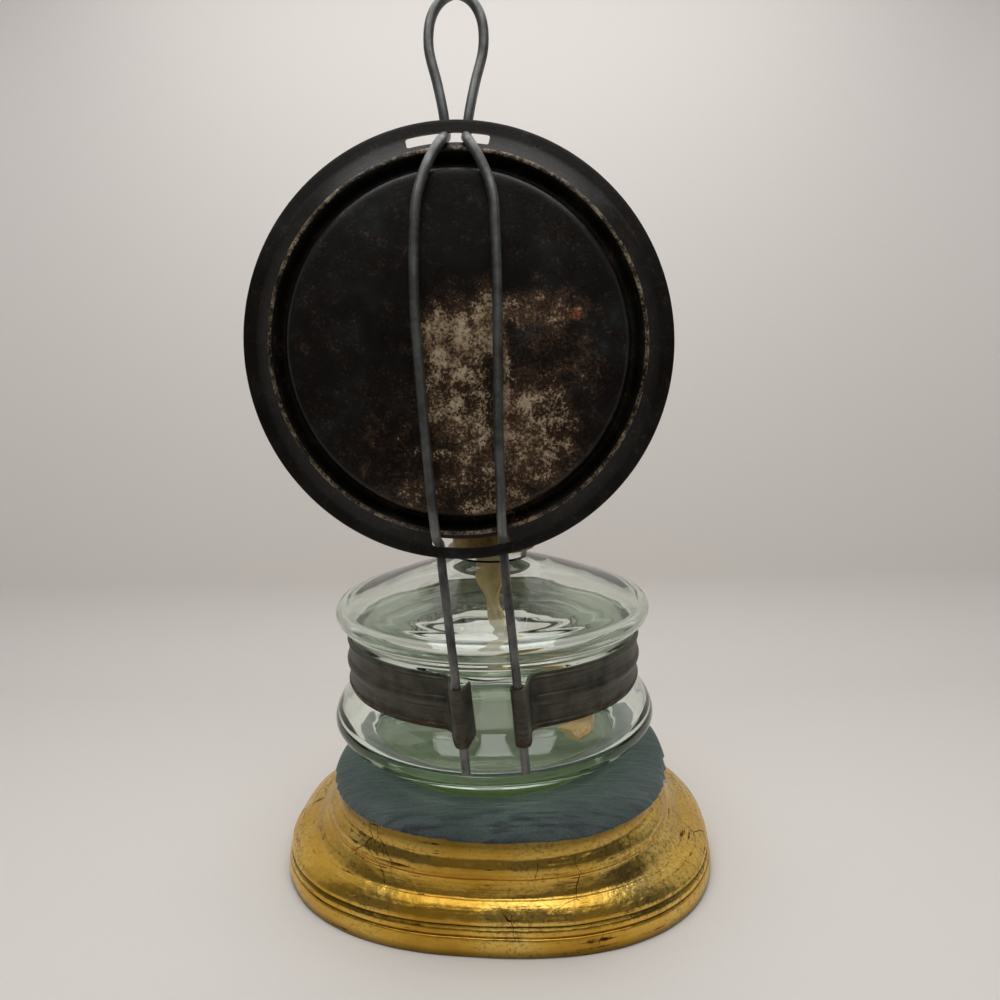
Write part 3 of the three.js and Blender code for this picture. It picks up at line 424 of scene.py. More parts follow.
def japanned_tin(centre, ridge_radius):
    """Tinplate under black japan: a brown-black varnish.

    It is worn to tan bare metal where the wire rubs, with rust at the edges of the wear."""
    material, node, shader, _ = new_material("black_japanned_tinplate", Specular_IOR_Level=0.12,
                                             Coat_Weight=0.03, Coat_Roughness=0.25)
    place_at = node("TexCoord").outputs["Object"]
    local = node("VectorMath", [place_at, tuple(centre)], operation="SUBTRACT").outputs[0]
    mottle = node("TexNoise", {"Vector": local, "Scale": 70.0, "Detail": 6.0, "Roughness": 0.6})
    japan = node("ValToRGB", [mottle], ramp=[(0.35, "#0E0B09"), (0.5, "#14110E"), (0.62, "#191918"),
                                             (0.75, "#262B2E")])
    fine = node("TexNoise", {"Vector": local, "Scale": 1300.0, "Detail": 6.0, "Roughness": 0.7})
    coarse = node("TexNoise", {"Vector": local, "Scale": 230.0, "Detail": 6.0, "Roughness": 0.65})
    grain = node("Math", [coarse, 0.7, fine], operation="MULTIPLY_ADD")
    # where the japan is worn, from the middle of the pan, with how far each spot has gone
    spots = [(0.0000, -0.0100, 0.0125, 0.0260, 0.31), (-0.0030, 0.0020, 0.0100, 0.0130, 0.37),
             (0.0085, 0.0060, 0.0060, 0.0120, 0.36), (0.0119, -0.0160, 0.0034, 0.0300, 0.37),
             (0.0195, -0.0240, 0.0165, 0.0190, 0.30), (0.0040, -0.0300, 0.0130, 0.0170, 0.27),
             (0.0215, 0.0095, 0.0150, 0.0060, 0.26), (0.0100, -0.0430, 0.0140, 0.0080, 0.30),
             (-0.0112, -0.0410, 0.0100, 0.0070, 0.22), (-0.0030, -0.0300, 0.0340, 0.0180, 0.12),
             (0.0250, -0.0060, 0.0170, 0.0190, 0.13)]
    wear = worn_places(node, local, spots)
    worn = node("Math", [grain, wear], operation="ADD")
    bare = node("MapRange", [worn, 1.13, 1.27, 0.0, 1.0])
    rusty = node("MapRange", [worn, 0.92, 1.13, 0.0, 0.9])
    # the ridge is rubbed to a bright ring with flecks
    far = node("VectorMath", [local, (1, 0, 1)], operation="MULTIPLY")
    far = node("VectorMath", [far], operation="LENGTH")
    ring = node("Math", [far.outputs["Value"], ridge_radius, 0.0006], operation="COMPARE")
    chipped = node("MapRange", [grain, 0.78, 0.98, 0.0, 0.6])
    ring = node("Math", [ring, chipped], operation="MULTIPLY")
    bare = node("Math", [bare, ring], operation="MAXIMUM")
    tin = node("ValToRGB", [coarse], ramp=[(0.35, "#75634E"), (0.5, "#978368"), (0.65, "#B8A68A")])
    rust = node("ValToRGB", [mottle], ramp=[(0.4, "#33241A"), (0.6, "#503C2C")])
    colour = node("Mix", {0: rusty, 6: japan, 7: rust}, data_type="RGBA")
    orange = worn_places(node, local, [(0.0322, 0.0087, 0.0022, 0.0022, 0.75)])
    orange = node("Math", [orange, chipped], operation="MULTIPLY")
    colour = node("Mix", {0: orange, 6: colour, 7: "#8A4A1E"}, data_type="RGBA")
    colour = node("Mix", {0: bare, 6: colour, 7: tin}, data_type="RGBA")
    metal = node("Math", [bare, 0.35], operation="MULTIPLY")
    dull = node("MapRange", [mottle, 0.3, 0.7, 0.30, 0.42])
    bump = node("Bump", {"Height": worn, "Strength": 0.35, "Distance": 0.0003}, invert=True)
    fill(shader, {"Base Color": colour, "Metallic": metal, "Roughness": dull, "Normal": bump})
    return material


def bright_tin():
    """Tinplate left bright for the light: a soft grey mirror with the crystals of tinning."""
    material, node, shader, _ = new_material("bright_tinplate", Metallic=1.0)
    place_at = node("TexCoord").outputs["Object"]
    cloud = node("TexNoise", {"Vector": place_at, "Scale": 55.0, "Detail": 5.0})
    crystals = node("TexVoronoi", {"Vector": place_at, "Scale": 90.0})
    colour = node("ValToRGB", [cloud], ramp=[(0.3, "#8F8B82"), (0.55, "#B9B6AE"),
                                             (0.75, "#CDCAC2")])
    spots = node("TexNoise", {"Vector": place_at, "Scale": 300.0, "Detail": 6.0, "Roughness": 0.7})
    spots = node("MapRange", [spots, 0.63, 0.72, 0.0, 0.8])
    colour = node("Mix", {0: spots, 6: colour, 7: "#5A4A3A"}, data_type="RGBA")
    dull = node("MapRange", [crystals.outputs["Color"], 0.0, 1.0, 0.24, 0.34])
    bump = node("Bump", {"Height": cloud, "Strength": 0.3, "Distance": 0.0006})
    fill(shader, {"Base Color": colour, "Roughness": dull, "Normal": bump})
    return material


def strap_tin(name, dark, light, rust_from):
    """Rolled tinplate gone dark: marks along its length, and rust that starts at its lower edge."""
    material, node, shader, _ = new_material(name)
    place_at = node("TexCoord").outputs["Object"]
    surface = node("TexCoord").outputs["UV"]
    cloud = node("TexNoise", {"Vector": place_at, "Scale": 90.0, "Detail": 6.0, "Roughness": 0.62})
    # rolling marks, drawn 1 mm apart and 15 mm long
    rolled = node("Mapping", {"Vector": surface, "Scale": (60.0, 1000.0, 1.0)})
    rolled = node("TexNoise", {"Vector": rolled, "Scale": 1.0, "Detail": 5.0})
    colour = node("ValToRGB", [cloud], ramp=[(0.32, dark), (0.68, light)])
    mark = node("MapRange", [rolled, 0.3, 0.7, 0.75, 1.2])
    colour = node("VectorMath", {0: colour, 3: mark}, operation="SCALE")
    height = node("SeparateXYZ", [place_at])
    low = node("MapRange", [height.outputs[2], rust_from + 0.0045, rust_from, 0.0, 0.17])
    grain = node("TexNoise", {"Vector": place_at, "Scale": 260.0, "Detail": 7.0, "Roughness": 0.7})
    rust = node("Math", [grain, low], operation="ADD")
    rust = node("MapRange", [rust, 0.60, 0.70, 0.0, 0.85])
    # the side that lies against the glass is bare tin, as a strap is inside, but made matt and
    # pale, and paler towards the sides: painted light for where it is seen through the glass
    facing = node("TexCoord").outputs["Normal"]
    outwards = node("VectorMath", [place_at, (1, 1, 0)], operation="MULTIPLY")
    outwards = node("VectorMath", [outwards, facing], operation="DOT_PRODUCT")
    kept = node("Math", [outwards.outputs["Value"], -0.01], operation="LESS_THAN")
    across = node("SeparateXYZ", [place_at])
    across = node("Math", [across], operation="ABSOLUTE")
    across = node("Math", [rolled, 0.05, across], operation="MULTIPLY_ADD")
    # painted light: the inner face grows paler towards the strap's sides
    bright = node("MapRange", [across, 0.045, 0.064, 0.0, 1.0])
    bright = node("Mix", {0: bright, 6: "#6C6C64", 7: "#DEDBD2"}, data_type="RGBA")
    colour = node("Mix", {0: kept, 6: colour, 7: bright}, data_type="RGBA")
    colour = node("Mix", {0: rust, 6: colour, 7: "#4A3222"}, data_type="RGBA")
    metal = node("MapRange", [kept, 0.0, 1.0, 0.75, 0.3])
    dull = node("MapRange", [cloud, 0.3, 0.7, 0.40, 0.56])
    dull = node("Math", [rust, 0.25, dull], operation="MULTIPLY_ADD")
    bump = node("Bump", {"Height": rolled, "Strength": 0.4, "Distance": 0.00015})
    bump = node("Bump", {"Height": cloud, "Strength": 0.5, "Distance": 0.0006, "Normal": bump})
    fill(shader, {"Base Color": colour, "Metallic": metal, "Roughness": dull, "Normal": bump})
    return material


def drawn_wire():
    """Iron wire drawn through a die: a dull mid grey with die lines and dark spots of oxide."""
    material, node, shader, _ = new_material("drawn_iron_wire", Metallic=0.85)
    surface = node("TexCoord").outputs["UV"]
    place_at = node("TexCoord").outputs["Object"]
    lines = node("Mapping", {"Vector": surface, "Scale": (35.0, 1500.0, 1.0)})
    lines = node("TexNoise", {"Vector": lines, "Scale": 1.0, "Detail": 5.0})
    oxide = node("TexNoise", {"Vector": place_at, "Scale": 130.0, "Detail": 6.0, "Roughness": 0.65})
    colour = node("ValToRGB", [oxide], ramp=[(0.35, "#4A4A49"), (0.5, "#646564"),
                                             (0.65, "#7A7B79")])
    shade = node("MapRange", [lines, 0.3, 0.7, 0.8, 1.15])
    colour = node("VectorMath", {0: colour, 3: shade}, operation="SCALE")
    dull = node("MapRange", [oxide, 0.3, 0.7, 0.52, 0.38])
    bump = node("Bump", {"Height": lines, "Strength": 0.4, "Distance": 0.0001})
    fill(shader, {"Base Color": colour, "Roughness": dull, "Normal": bump})
    return material


def aged_brass(name, dark, light, tarnish):
    """Spun sheet brass that has tarnished: brown in places, yellow where it is rubbed."""
    material, node, shader, _ = new_material(name, Metallic=1.0)
    surface = node("TexCoord").outputs["UV"]
    place_at = node("TexCoord").outputs["Object"]
    patina = node("TexNoise", {"Vector": place_at, "Scale": 160.0, "Detail": 7.0,
                               "Roughness": 0.65})
    # spinning marks run round each piece, drawn 0.5 mm apart
    spun = node("Mapping", {"Vector": surface, "Scale": (20.0, 2000.0, 1.0)})
    spun = node("TexNoise", {"Vector": spun, "Scale": 1.0, "Detail": 3.0})
    colour = node("ValToRGB", [patina], ramp=[(0.34, dark), (0.6, light)])
    spots = node("TexNoise", {"Vector": place_at, "Scale": 420.0, "Detail": 5.0, "Roughness": 0.7})
    spots = node("MapRange", [spots, 0.60, 0.68, 0.0, tarnish])
    colour = node("Mix", {0: spots, 6: colour, 7: "#2E2014"}, data_type="RGBA")
    dull = node("MapRange", [patina, 0.3, 0.7, 0.5, 0.28])
    bump = node("Bump", {"Height": spun, "Strength": 0.35, "Distance": 0.0001})
    fill(shader, {"Base Color": colour, "Roughness": dull, "Normal": bump})
    return material


def woven_wick(stain_start, stain_end):
    """Flat woven cotton: cream cords side by side, browned with oil towards the lower end."""
    material, node, shader, _ = new_material("woven_cotton_wick", Roughness=0.92, Sheen_Weight=0.3)
    surface = node("TexCoord").outputs["UV"]
    parts = node("SeparateXYZ", [surface])
    stain = node("TexNoise", {"Vector": surface, "Scale": 110.0, "Detail": 5.0})
    colour = node("ValToRGB", [stain], ramp=[(0.3, "#C4A268"), (0.5, "#D6B880"), (0.7, "#E4CFA0")])
    tail = node("MapRange", [parts, stain_start, stain_end, 0.0, 1.0])
    tail = node("Math", [tail, stain], operation="MULTIPLY")
    colour = node("Mix", {0: tail, 6: colour, 7: "#A8702C"}, data_type="RGBA")
    # cords 1.1 mm apart, each crossed by picks 1.6 mm apart
    cords = node("Math", [parts.outputs[1], FULL_TURN / 0.0011], operation="MULTIPLY")
    cords = node("Math", [cords], operation="SINE")
    picks = node("Math", [parts, FULL_TURN / 0.0016], operation="MULTIPLY")
    picks = node("Math", [picks], operation="SINE")
    weave = node("Math", [cords, picks], operation="MULTIPLY")
    weave = node("Math", [weave, cords], operation="ADD")
    shade = node("MapRange", [weave, -2.0, 2.0, 0.78, 1.1])
    colour = node("VectorMath", {0: colour, 3: shade}, operation="SCALE")
    bump = node("Bump", {"Height": weave, "Strength": 0.6, "Distance": 0.00025})
    fill(shader, {"Base Color": colour, "Normal": bump})
    return material


def plain_paper(colour):
    """Matt white paper for the floor and the wall behind."""
    material, node, shader, _ = new_material("plain_paper", Roughness=0.75, Base_Color=colour)
    place_at = node("TexCoord").outputs["Object"]
    tooth = node("TexNoise", {"Vector": place_at, "Scale": 900.0, "Detail": 2.0})
    bump = node("Bump", {"Height": tooth, "Strength": 0.05, "Distance": 0.0003})
    fill(shader, {"Normal": bump})
    return material


# Sizes and colours that a user would change

def size(name, text, value):
    """A length in metres, from its value in millimetres."""
    return FloatProperty(name=name, description=text, default=value * MM, unit="LENGTH",
                         precision=5)


def colour_code(name, text, value):
    return StringProperty(name=name, description=text, default=value)


class StandSizes(bpy.types.PropertyGroup):
    length: size("Length", "Length of the stand's foot", 166)
    width: size("Width", "Width of the stand's foot", 134.6)
    height: size("Height", "Height of the stand", 37.6)
    top_length: size("Top length", "Length of the stand's top", 122)
    top_width: size("Top width", "Width of the stand's top", 120.6)
    shift_x: size("Shift X", "The stand's centre from the lamp's axis, sideways", 1.2)
    shift_y: size("Shift Y", "The stand's centre from the lamp's axis, in depth", 0.4)
    turn: FloatProperty(name="Turn", description="How far the lamp stands turned on it",
                        default=math.radians(-5), unit="ROTATION")
    squareness: FloatProperty(name="Squareness", description="Power of the ovals; 2 is an ellipse",
                              default=2.38)
    relief: size("Relief", "Full swing of the moulding, on the diameter", 3.4)
    pad_length: size("Pad length", "Length of the velvet pad", 129)
    pad_width: size("Pad width", "Width of the velvet pad", 128)
    pad_thickness: size("Pad thickness", "Thickness of the velvet pad", 4.7)
    pad_x: size("Pad X", "The pad's centre from the lamp's axis, sideways", 2.6)
    pad_y: size("Pad Y", "The pad's centre from the lamp's axis, in depth", -1.2)


class FontSizes(bpy.types.PropertyGroup):
    foot_radius: size("Foot radius", "Radius of the font's foot", 45.5)
    foot_height: size("Foot height", "Height of the foot", 6.6)
    foot_kick: size("Kick", "How far the underside is pushed up", 1.6)
    lower_radius: size("Lower radius", "Radius of the lower bulge", 61.9)
    lower_height: size("Lower height", "Height of the lower bulge's widest ring", 16)
    waist_radius: size("Waist radius", "Radius of the waist under the strap", 54.3)
    waist_bottom: size("Waist bottom", "Height of the waist's lower end", 29)
    waist_top: size("Waist top", "Height of the waist's upper end", 49.6)
    upper_radius: size("Upper radius", "Radius of the upper bulge", 60)
    upper_height: size("Upper height", "Height of the upper bulge's widest ring", 57.5)
    shoulder: size("Shoulder", "Height of the shoulder at the neck", 76.2)
    neck_radius: size("Neck radius", "Radius of the neck", 13.6)
    neck_top: size("Neck top", "Height of the neck's top", 86.8)
    wall: size("Wall", "Thickness of the glass", 2.8)
    bulge_wall: size("Bulge wall", "Thickness of the glass at the two bulges", 4.3)
    neck_wall: size("Neck wall", "Thickness of the glass at the neck", 1.8)
    floor: size("Floor", "Height of the inner floor", 5.4)
    ripple: size("Ripple", "Height of the waves in the glass", 0.09)
    tint: colour_code("Tint", "Colour that thick glass takes", "#B9DDB4")
    density: FloatProperty(name="Density", description="How fast the glass takes on its tint",
                           default=35.0)
    collar_radius: size("Collar radius", "Radius of the brass collar", 14.9)
    collar_flare: size("Collar flare", "Radius of the collar's lower hem", 16.9)
    collar_top: size("Collar top", "Height of the collar's top", 89)
    collar_bottom: size("Collar bottom", "Height of the collar's lower edge", 79.4)
    collar_sheet: size("Collar sheet", "Thickness of the collar's brass", 0.7)
    thread_bore: size("Thread bore", "Radius inside the collar's thread", 10.75)
    thread_depth: size("Thread depth", "Length of the collar's thread", 7.4)


class StrapSizes(bpy.types.PropertyGroup):
    width: size("Width", "Width of the strap", 18.8)
    sheet: size("Sheet", "Thickness of the strap's tin", 0.8)
    middle: size("Middle", "Height of the strap's middle", 39.3)
    rib: size("Rib", "Height of the ribs", 0.9)
    drop: size("Drop", "How much lower the clips hang", 0.9)
    flap: size("Flap", "Length of the left clip's open flap", 3.9)
    neck: FloatProperty(name="Neck",
                        description="From each leg to where the strap lies on the waist",
                        default=math.radians(8.5), unit="ROTATION")
    rise: FloatProperty(name="Rise", description="How steeply the strap rises to its clips",
                        default=math.radians(62), unit="ROTATION")


class WireSizes(bpy.types.PropertyGroup):
    diameter: size("Diameter", "Diameter of the wire", 2.8)
    leg_gap: size("Leg gap", "From leg to leg, at the clips", 19)
    stand_off: size("Stand-off", "From the lamp's axis to the legs", 63.2)
    leg_end: size("Leg end", "Height of the legs' lower ends", 19.5)
    leg_middle: size("Leg middle", "Sideways place of the legs' midline at their lower end", 0.95)
    lean: FloatProperty(name="Lean", description="How far the wire leans",
                        default=math.radians(4.9), unit="ROTATION")
    top: size("Top", "Height of the hanging loop's top", 245.8)
    loop_width: size("Loop width", "Width of the hanging loop", 15)
    back_gap: size("Back gap", "From the pan's floor to the wire's middle", 1.9)
    kink: size("Kink", "How far from a slot the wire bends", 2.2)
    clear: size("Clear", "Between the wire and the ridge it passes over", 1.8)


class ReflectorSizes(bpy.types.PropertyGroup):
    radius: size("Radius", "Radius of the reflector", 61.5)
    height: size("Height", "Height of the reflector's middle", 151.2)
    side: size("Side", "Sideways place of the reflector's middle", -7.3)
    stand_off: size("Stand-off", "From the lamp's axis to the rim's plane", 66)
    sheet: size("Sheet", "Thickness of the tin", 0.8)
    lip: size("Lip", "Width of the rim's lip", 2.9)
    ridge_radius: size("Ridge radius", "Radius of the raised ring", 52.8)
    ridge_rise: size("Ridge rise", "Height of the raised ring", 5.2)
    groove_rise: size("Groove rise", "Height of the groove inside the ring", 1.3)
    floor_radius: size("Floor radius", "Radius of the flat back", 45.6)
    floor_rise: size("Floor rise", "Height of the flat back", 9.3)
    crown: size("Crown", "How much the flat back is crowned", 0.9)
    slot_radius: size("Slot radius", "Radius of the two arc slots", 56.3)
    slot_width: size("Slot width", "Width of the slots", 3.3)


class BurnerSizes(bpy.types.PropertyGroup):
    ring_flange: size("Ring flange", "Radius of the thread ring's flange", 12.6)
    sheet: size("Sheet", "Thickness of the burner's brass", 0.7)
    cup_floor: size("Cup floor", "Radius of the cup's floor", 12)
    cup_radius: size("Cup radius", "Radius of the cup's rim", 17.4)
    cup_height: size("Cup height", "Height of the cup", 8.2)
    basket_radius: size("Basket radius", "Radius of the air basket", 18.6)
    basket_height: size("Basket height", "Height of the air basket", 6.2)
    hole_diameter: size("Hole diameter", "Diameter of the air holes", 2.4)
    holes: IntProperty(name="Holes", description="Number of air holes in a row", default=16)
    gallery_radius: size("Gallery radius", "Radius of the gallery plate", 21.2)
    gallery_opening: size("Gallery opening", "Radius of the hole in the gallery", 14)
    gallery_sheet: size("Gallery sheet", "Thickness of the gallery plate", 0.9)
    cone_radius: size("Cone radius", "Radius of the flame cone's foot", 17.2)
    cone_height: size("Cone height", "Height of the flame cone", 14.6)
    cone_slot: size("Cone slot", "Length of the flame cone's slot", 16.6)
    cone_slot_width: size("Cone slot width", "Width of the flame cone's slot", 5.6)
    prong_width: size("Prong width", "Width of a prong", 5)
    prong_height: size("Prong height", "Height of a prong", 13)
    prong_bow: size("Prong bow", "How far a prong bows out", 1.8)
    prong_sheet: size("Prong sheet", "Thickness of a prong", 0.5)
    thread_pitch: size("Thread pitch", "Pitch of the ring's thread", 1.8)
    shaft_radius: size("Shaft radius", "Radius of the raiser's shaft", 1.1)
    shaft_in: size("Shaft in", "From the lamp's axis to the shaft's inner end", 8.6)
    shaft_out: size("Shaft out", "From the lamp's axis to the shaft's knob end", 35.4)
    shaft_back: size("Shaft back", "From the wick's middle to the shaft", 6.1)
    sleeve_wall: size("Sleeve wall", "Thickness of the shaft's sleeve", 0.7)
    sleeve_in: size("Sleeve in", "From the lamp's axis to the sleeve's inner end", 12.4)
    sleeve_out: size("Sleeve out", "From the lamp's axis to the sleeve's outer end", 25)
    knob_radius: size("Knob radius", "Radius of the raiser's knob", 7.6)
    knob_thickness: size("Knob thickness", "Thickness of the knob", 4)
    knob_hub: size("Knob hub", "Radius of the knob's hub", 3)
    knob_hub_length: size("Knob hub length", "Length of the knob's hub", 2.6)
    knob_notches: IntProperty(name="Knob notches", description="Number of notches round the knob",
                              default=12)


class WickSizes(bpy.types.PropertyGroup):
    width: size("Width", "Width of the wick", 12.6)
    thickness: size("Thickness", "Thickness of the wick", 2.4)
    rise: size("Rise", "How far the wick stands out of its tube", 1.2)
    clearance: size("Clearance", "Space between the wick and its tube", 0.45)
    feed: size("Feed", "How far the raiser moves the wick each way", 4.2)


class ChimneySizes(bpy.types.PropertyGroup):
    base: size("Base radius", "Radius of the chimney's foot", 20.3)
    bulge: size("Bulge radius", "Radius at the flame", 28)
    top: size("Top radius", "Radius of the chimney's mouth", 15.6)
    height: size("Height", "Height of the chimney", 114)
    wall: size("Wall", "Thickness of the chimney's glass", 1.6)


class StageSizes(bpy.types.PropertyGroup):
    wall_at: size("Wall at", "From the lamp to the wall behind it", 215)
    bend: size("Bend", "Radius of the paper's sweep from floor to wall", 55)
    paper: colour_code("Paper", "Colour of the floor and the wall", "#DCD7D2")
    key: FloatProperty(name="Overhead light", description="Power of the light above, in watts",
                       default=1.4)
    fill: FloatProperty(name="Front light", description="Power of the light in front, in watts",
                        default=1.5)
    side: FloatProperty(name="Side light",
                        description="Power of each of the two lights beside, in watts",
                        default=0.2)
    sky: FloatProperty(name="Room light", description="Strength of the even light around",
                       default=0.05)


SETTINGS = {"stand": StandSizes, "font": FontSizes, "strap": StrapSizes, "wire": WireSizes,
            "reflector": ReflectorSizes, "burner": BurnerSizes, "wick": WickSizes,
            "chimney": ChimneySizes, "stage": StageSizes,}


# Stage

class LAMP_OT_stage(bpy.types.Operator):
    """Adds the camera, the paper floor and wall, and the studio lights"""
    bl_idname = "lamp.stage"
    bl_label = "Stage"

    def execute(self, context):
        sizes = context.scene.lamp_stage
        for name in ("Cube", "Light", "Camera"):
            if name in bpy.data.objects:
                bpy.data.objects.remove(bpy.data.objects[name])
        self.add_camera(context)
        self.add_paper(sizes)
        self.add_lights(context, sizes)
        return {"FINISHED"}

    def add_camera(self, context):
        data = bpy.data.cameras.new("camera")
        data.sensor_width, data.lens = SENSOR, LENS
        camera = added("camera", data)
        camera.matrix_world = (Matrix.Translation(CAMERA_AT)
                               @ Matrix.Rotation(math.pi / 2 + CAMERA_PITCH, 4, "X")
                               @ Matrix.Rotation(CAMERA_ROLL, 4, "Z"))
        context.scene.camera = camera

    def add_paper(self, sizes):
        bend = sizes.bend
        front, back, top, half = -1.6, sizes.wall_at, 1.6, 2.2
        sweep = [(front, 0.0)] + [(back - bend + bend * math.sin(t), bend - bend * math.cos(t))
                                  for t in np.linspace(0, math.pi / 2, 24)]
        sweep = np.array(sweep + [(back, top)])
        rows = [[(x, y, z) for y, z in sweep] for x in (-half, half)]
        paper = loft("paper_sweep", rows, closed_section=False)
        paper.data.materials.append(plain_paper(sizes.paper))

    def add_lights(self, context, sizes):
        lights = [  # name, place, what it looks at, length, width, power
            ("overhead_softbox", (0.0, -0.02, 0.52), (0.0, -0.02, 0.0), 0.5, 0.30, sizes.key),
            ("front_card", (0.0, -0.34, 0.50), (0.0, -0.05, 0.02), 0.7, 0.30, sizes.fill),
            ("tent_left", (-0.42, 0.08, 0.24), (0.0, 0.06, 0.08), 0.34, 0.40, sizes.side),
            ("tent_right", (0.42, 0.08, 0.24), (0.0, 0.06, 0.08), 0.34, 0.40, sizes.side),
        ]
        for name, at, to, long, wide, power in lights:
            data = bpy.data.lights.new(name, "AREA")
            data.shape, data.size, data.size_y, data.energy = "RECTANGLE", long, wide, power
            light = added(name, data)
            turn = (Vector(to) - Vector(at)).to_track_quat("-Z", "Y")
            light.matrix_world = Matrix.Translation(at) @ turn.to_matrix().to_4x4()
        world = bpy.data.worlds.new("room")
        world.use_nodes = True
        world.node_tree.nodes["Background"].inputs[0].default_value = linear("#EDEAE8")
        world.node_tree.nodes["Background"].inputs[1].default_value = sizes.sky
        context.scene.world = world
        context.scene.view_settings.view_transform = "Standard"


# Stand and pad

def oval(stand, centre, length, width, height, count):
    """A level ring that is an oval with a little squareness, turned as the stand is."""
    turns = even_turns(count)
    c, s = np.cos(turns), np.sin(turns)
    x = length / 2 * np.sign(c) * np.abs(c) ** (2 / stand.squareness)
    y = width / 2 * np.sign(s) * np.abs(s) ** (2 / stand.squareness)
    cos, sin = math.cos(stand.turn), math.sin(stand.turn)
    return np.stack([centre[0] + x * cos - y * sin, centre[1] + x * sin + y * cos,
                     np.full(count, height)], axis=1)


def shaken(grid, amount, spacing, seed):
    """Moves points by a slow noise, as in a thing made by hand."""
    shape = np.array(grid).shape
    points = np.array(grid, float).reshape(-1, 3)
    moved = [p + amount * np.array(noise.noise_vector(Vector(p) / spacing + Vector((seed, 0, 0))))
             for p in points]
    return np.array(moved).reshape(shape)


class LAMP_OT_stand(bpy.types.Operator):
    """Builds the gilded oval stand"""
    bl_idname = "lamp.stand"
    bl_label = "Stand"

    def execute(self, context):
        sizes = context.scene.lamp_stand
        # depth from the top, how far the flare has gone, and the moulding's own relief, as shares
        moulding_shares = [(0, 0, 0), (0.05, 0.01, 0.12), (0.13, 0.04, 0.1), (0.18, 0.08, -0.15),
                           (0.22, 0.14, 0.05), (0.28, 0.2, 0.35), (0.35, 0.27, -0.1),
                           (0.41, 0.38, -0.75), (0.51, 0.56, -0.75), (0.54, 0.65, -0.3),
                           (0.58, 0.78, 0.15), (0.63, 0.88, 0.5), (0.69, 0.95, 0.8),
                           (0.725, 0.95, 0.3), (0.755, 0.97, 0.75), (0.785, 0.98, 0.85),
                           (0.815, 0.99, 0.45), (0.845, 1, 0.9), (0.95, 1, 1), (0.985, 1, 0.9),
                           (1, 1, 0.5),]
        rings = []
        centre = (sizes.shift_x, sizes.shift_y)
        for depth, flare, swell in smooth_line(moulding_shares, STAND_RINGS):
            rings.append(oval(sizes, centre, lerp(sizes.top_length, sizes.length - sizes.relief,
                                                  flare) + sizes.relief * swell,
                              lerp(sizes.top_width, sizes.width - sizes.relief,
                                   flare) + sizes.relief * swell,
                              sizes.height * (1 - min(depth, 1)), STAND_FACETS))
        rings = shaken(rings, 0.25 * MM, 14 * MM, 3)
        rings[0][:, 2] = sizes.height
        rings[-1][:, 2] = 0
        stand = loft("gilded_stand", rings)
        place(stand, "stand", [gold_leaf(sizes.height)], ["stand_base"])
        return {"FINISHED"}


class LAMP_OT_pad(bpy.types.Operator):
    """Builds the velvet pad, swelled as cloth and pressed flat under the font's foot"""
    bl_idname = "lamp.pad"
    bl_label = "Velvet pad"

    def execute(self, context):
        stand, font = context.scene.lamp_stand, context.scene.lamp_font
        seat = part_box("velvet_pad")[0].z
        crown_shares = [(0.0, 0), (0.5, 0), (0.965, 0), (1, 0.16), (0.995, 0.42), (0.95, 0.72),
                        (0.86, 0.92), (0.74, 1), (0.5, 1), (0.25, 1), (0.0, 1)]
        centre = (stand.pad_x, stand.pad_y)
        rings = [oval(stand, centre, stand.pad_length * spread, stand.pad_width * spread,
                      seat + stand.pad_thickness * rise, 96) for spread,
                 rise in even(crown_shares, 60)]
        pad = loft("velvet_pad_cover", shaken(rings, 0.5 * MM, 22 * MM, 7))
        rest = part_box("velvet_pad")
        self.swell(context, pad)
        self.press(pad, rest, font)
        modified(pad, "SUBSURF", levels=1, render_levels=1)
        pad.data.shade_smooth()
        place(pad, "stand", [velvet()], ["velvet_pad"])
        return {"FINISHED"}

    def swell(self, context, pad):
        """Runs the cloth for a few frames under a little pressure, and keeps its bulges."""
        modified(pad, "REMESH", mode="VOXEL", voxel_size=1.7 * MM)
        before = np.array([v.co for v in pad.data.vertices])
        cloth = pad.modifiers.new("cloth", "CLOTH")
        cloth.settings.use_pressure = True
        cloth.settings.uniform_pressure_force = 3.0
        cloth.settings.effector_weights.gravity = 0
        for f in range(1, 16):
            context.scene.frame_set(f)
        after = applied(pad)
        moved = np.array([v.co for v in after.data.vertices])
        step = moved - before
        far = np.linalg.norm(step, axis=1)[:, None]
        most = 0.8 * MM
        kept = before + step * np.minimum(1, most / np.maximum(far, 1e-9))
        after.data.vertices.foreach_set("co", kept.ravel())
        context.scene.frame_set(1)

    def press(self, pad, rest, font):
        """Holds the top under the font's foot, and the rest inside the pad's own box."""
        low, high = rest
        for vertex in pad.data.vertices:
            x, y, z = vertex.co
            beyond = max(0.0, math.hypot(x, y) - font.foot_radius - 2.5 * MM)
            ceiling = high.z + min(0.9 * MM, 0.25 * beyond)
            vertex.co.z = min(max(z, low.z), ceiling)


# Geometry trees

def geometry_tree(name, sockets):
    """A geometry tree with a geometry in and out, and named inputs."""
    tree = bpy.data.node_groups.new(name, "GeometryNodeTree")
    tree.interface.new_socket("Geometry", in_out="INPUT", socket_type="NodeSocketGeometry")
    for key, kind in sockets.items():
        tree.interface.new_socket(key, in_out="INPUT", socket_type=kind)
    tree.interface.new_socket("Material", in_out="INPUT", socket_type="NodeSocketMaterial")
    tree.interface.new_socket("Geometry", in_out="OUTPUT", socket_type="NodeSocketGeometry")
    return tree, partial(add_node, tree), tree.nodes.new("NodeGroupInput").outputs


def end_tree(tree, geometry, material):
    """Ends a tree: one plain mesh with its material."""
    whole = add_node(tree, "GeometryNodeRealizeInstances", [geometry])
    whole = add_node(tree, "GeometryNodeSetShadeSmooth", {0: whole, "Shade Smooth": True})
    whole = add_node(tree, "GeometryNodeSetMaterial", {0: whole, "Material": material})
    add_node(tree, "NodeGroupOutput", [whole])


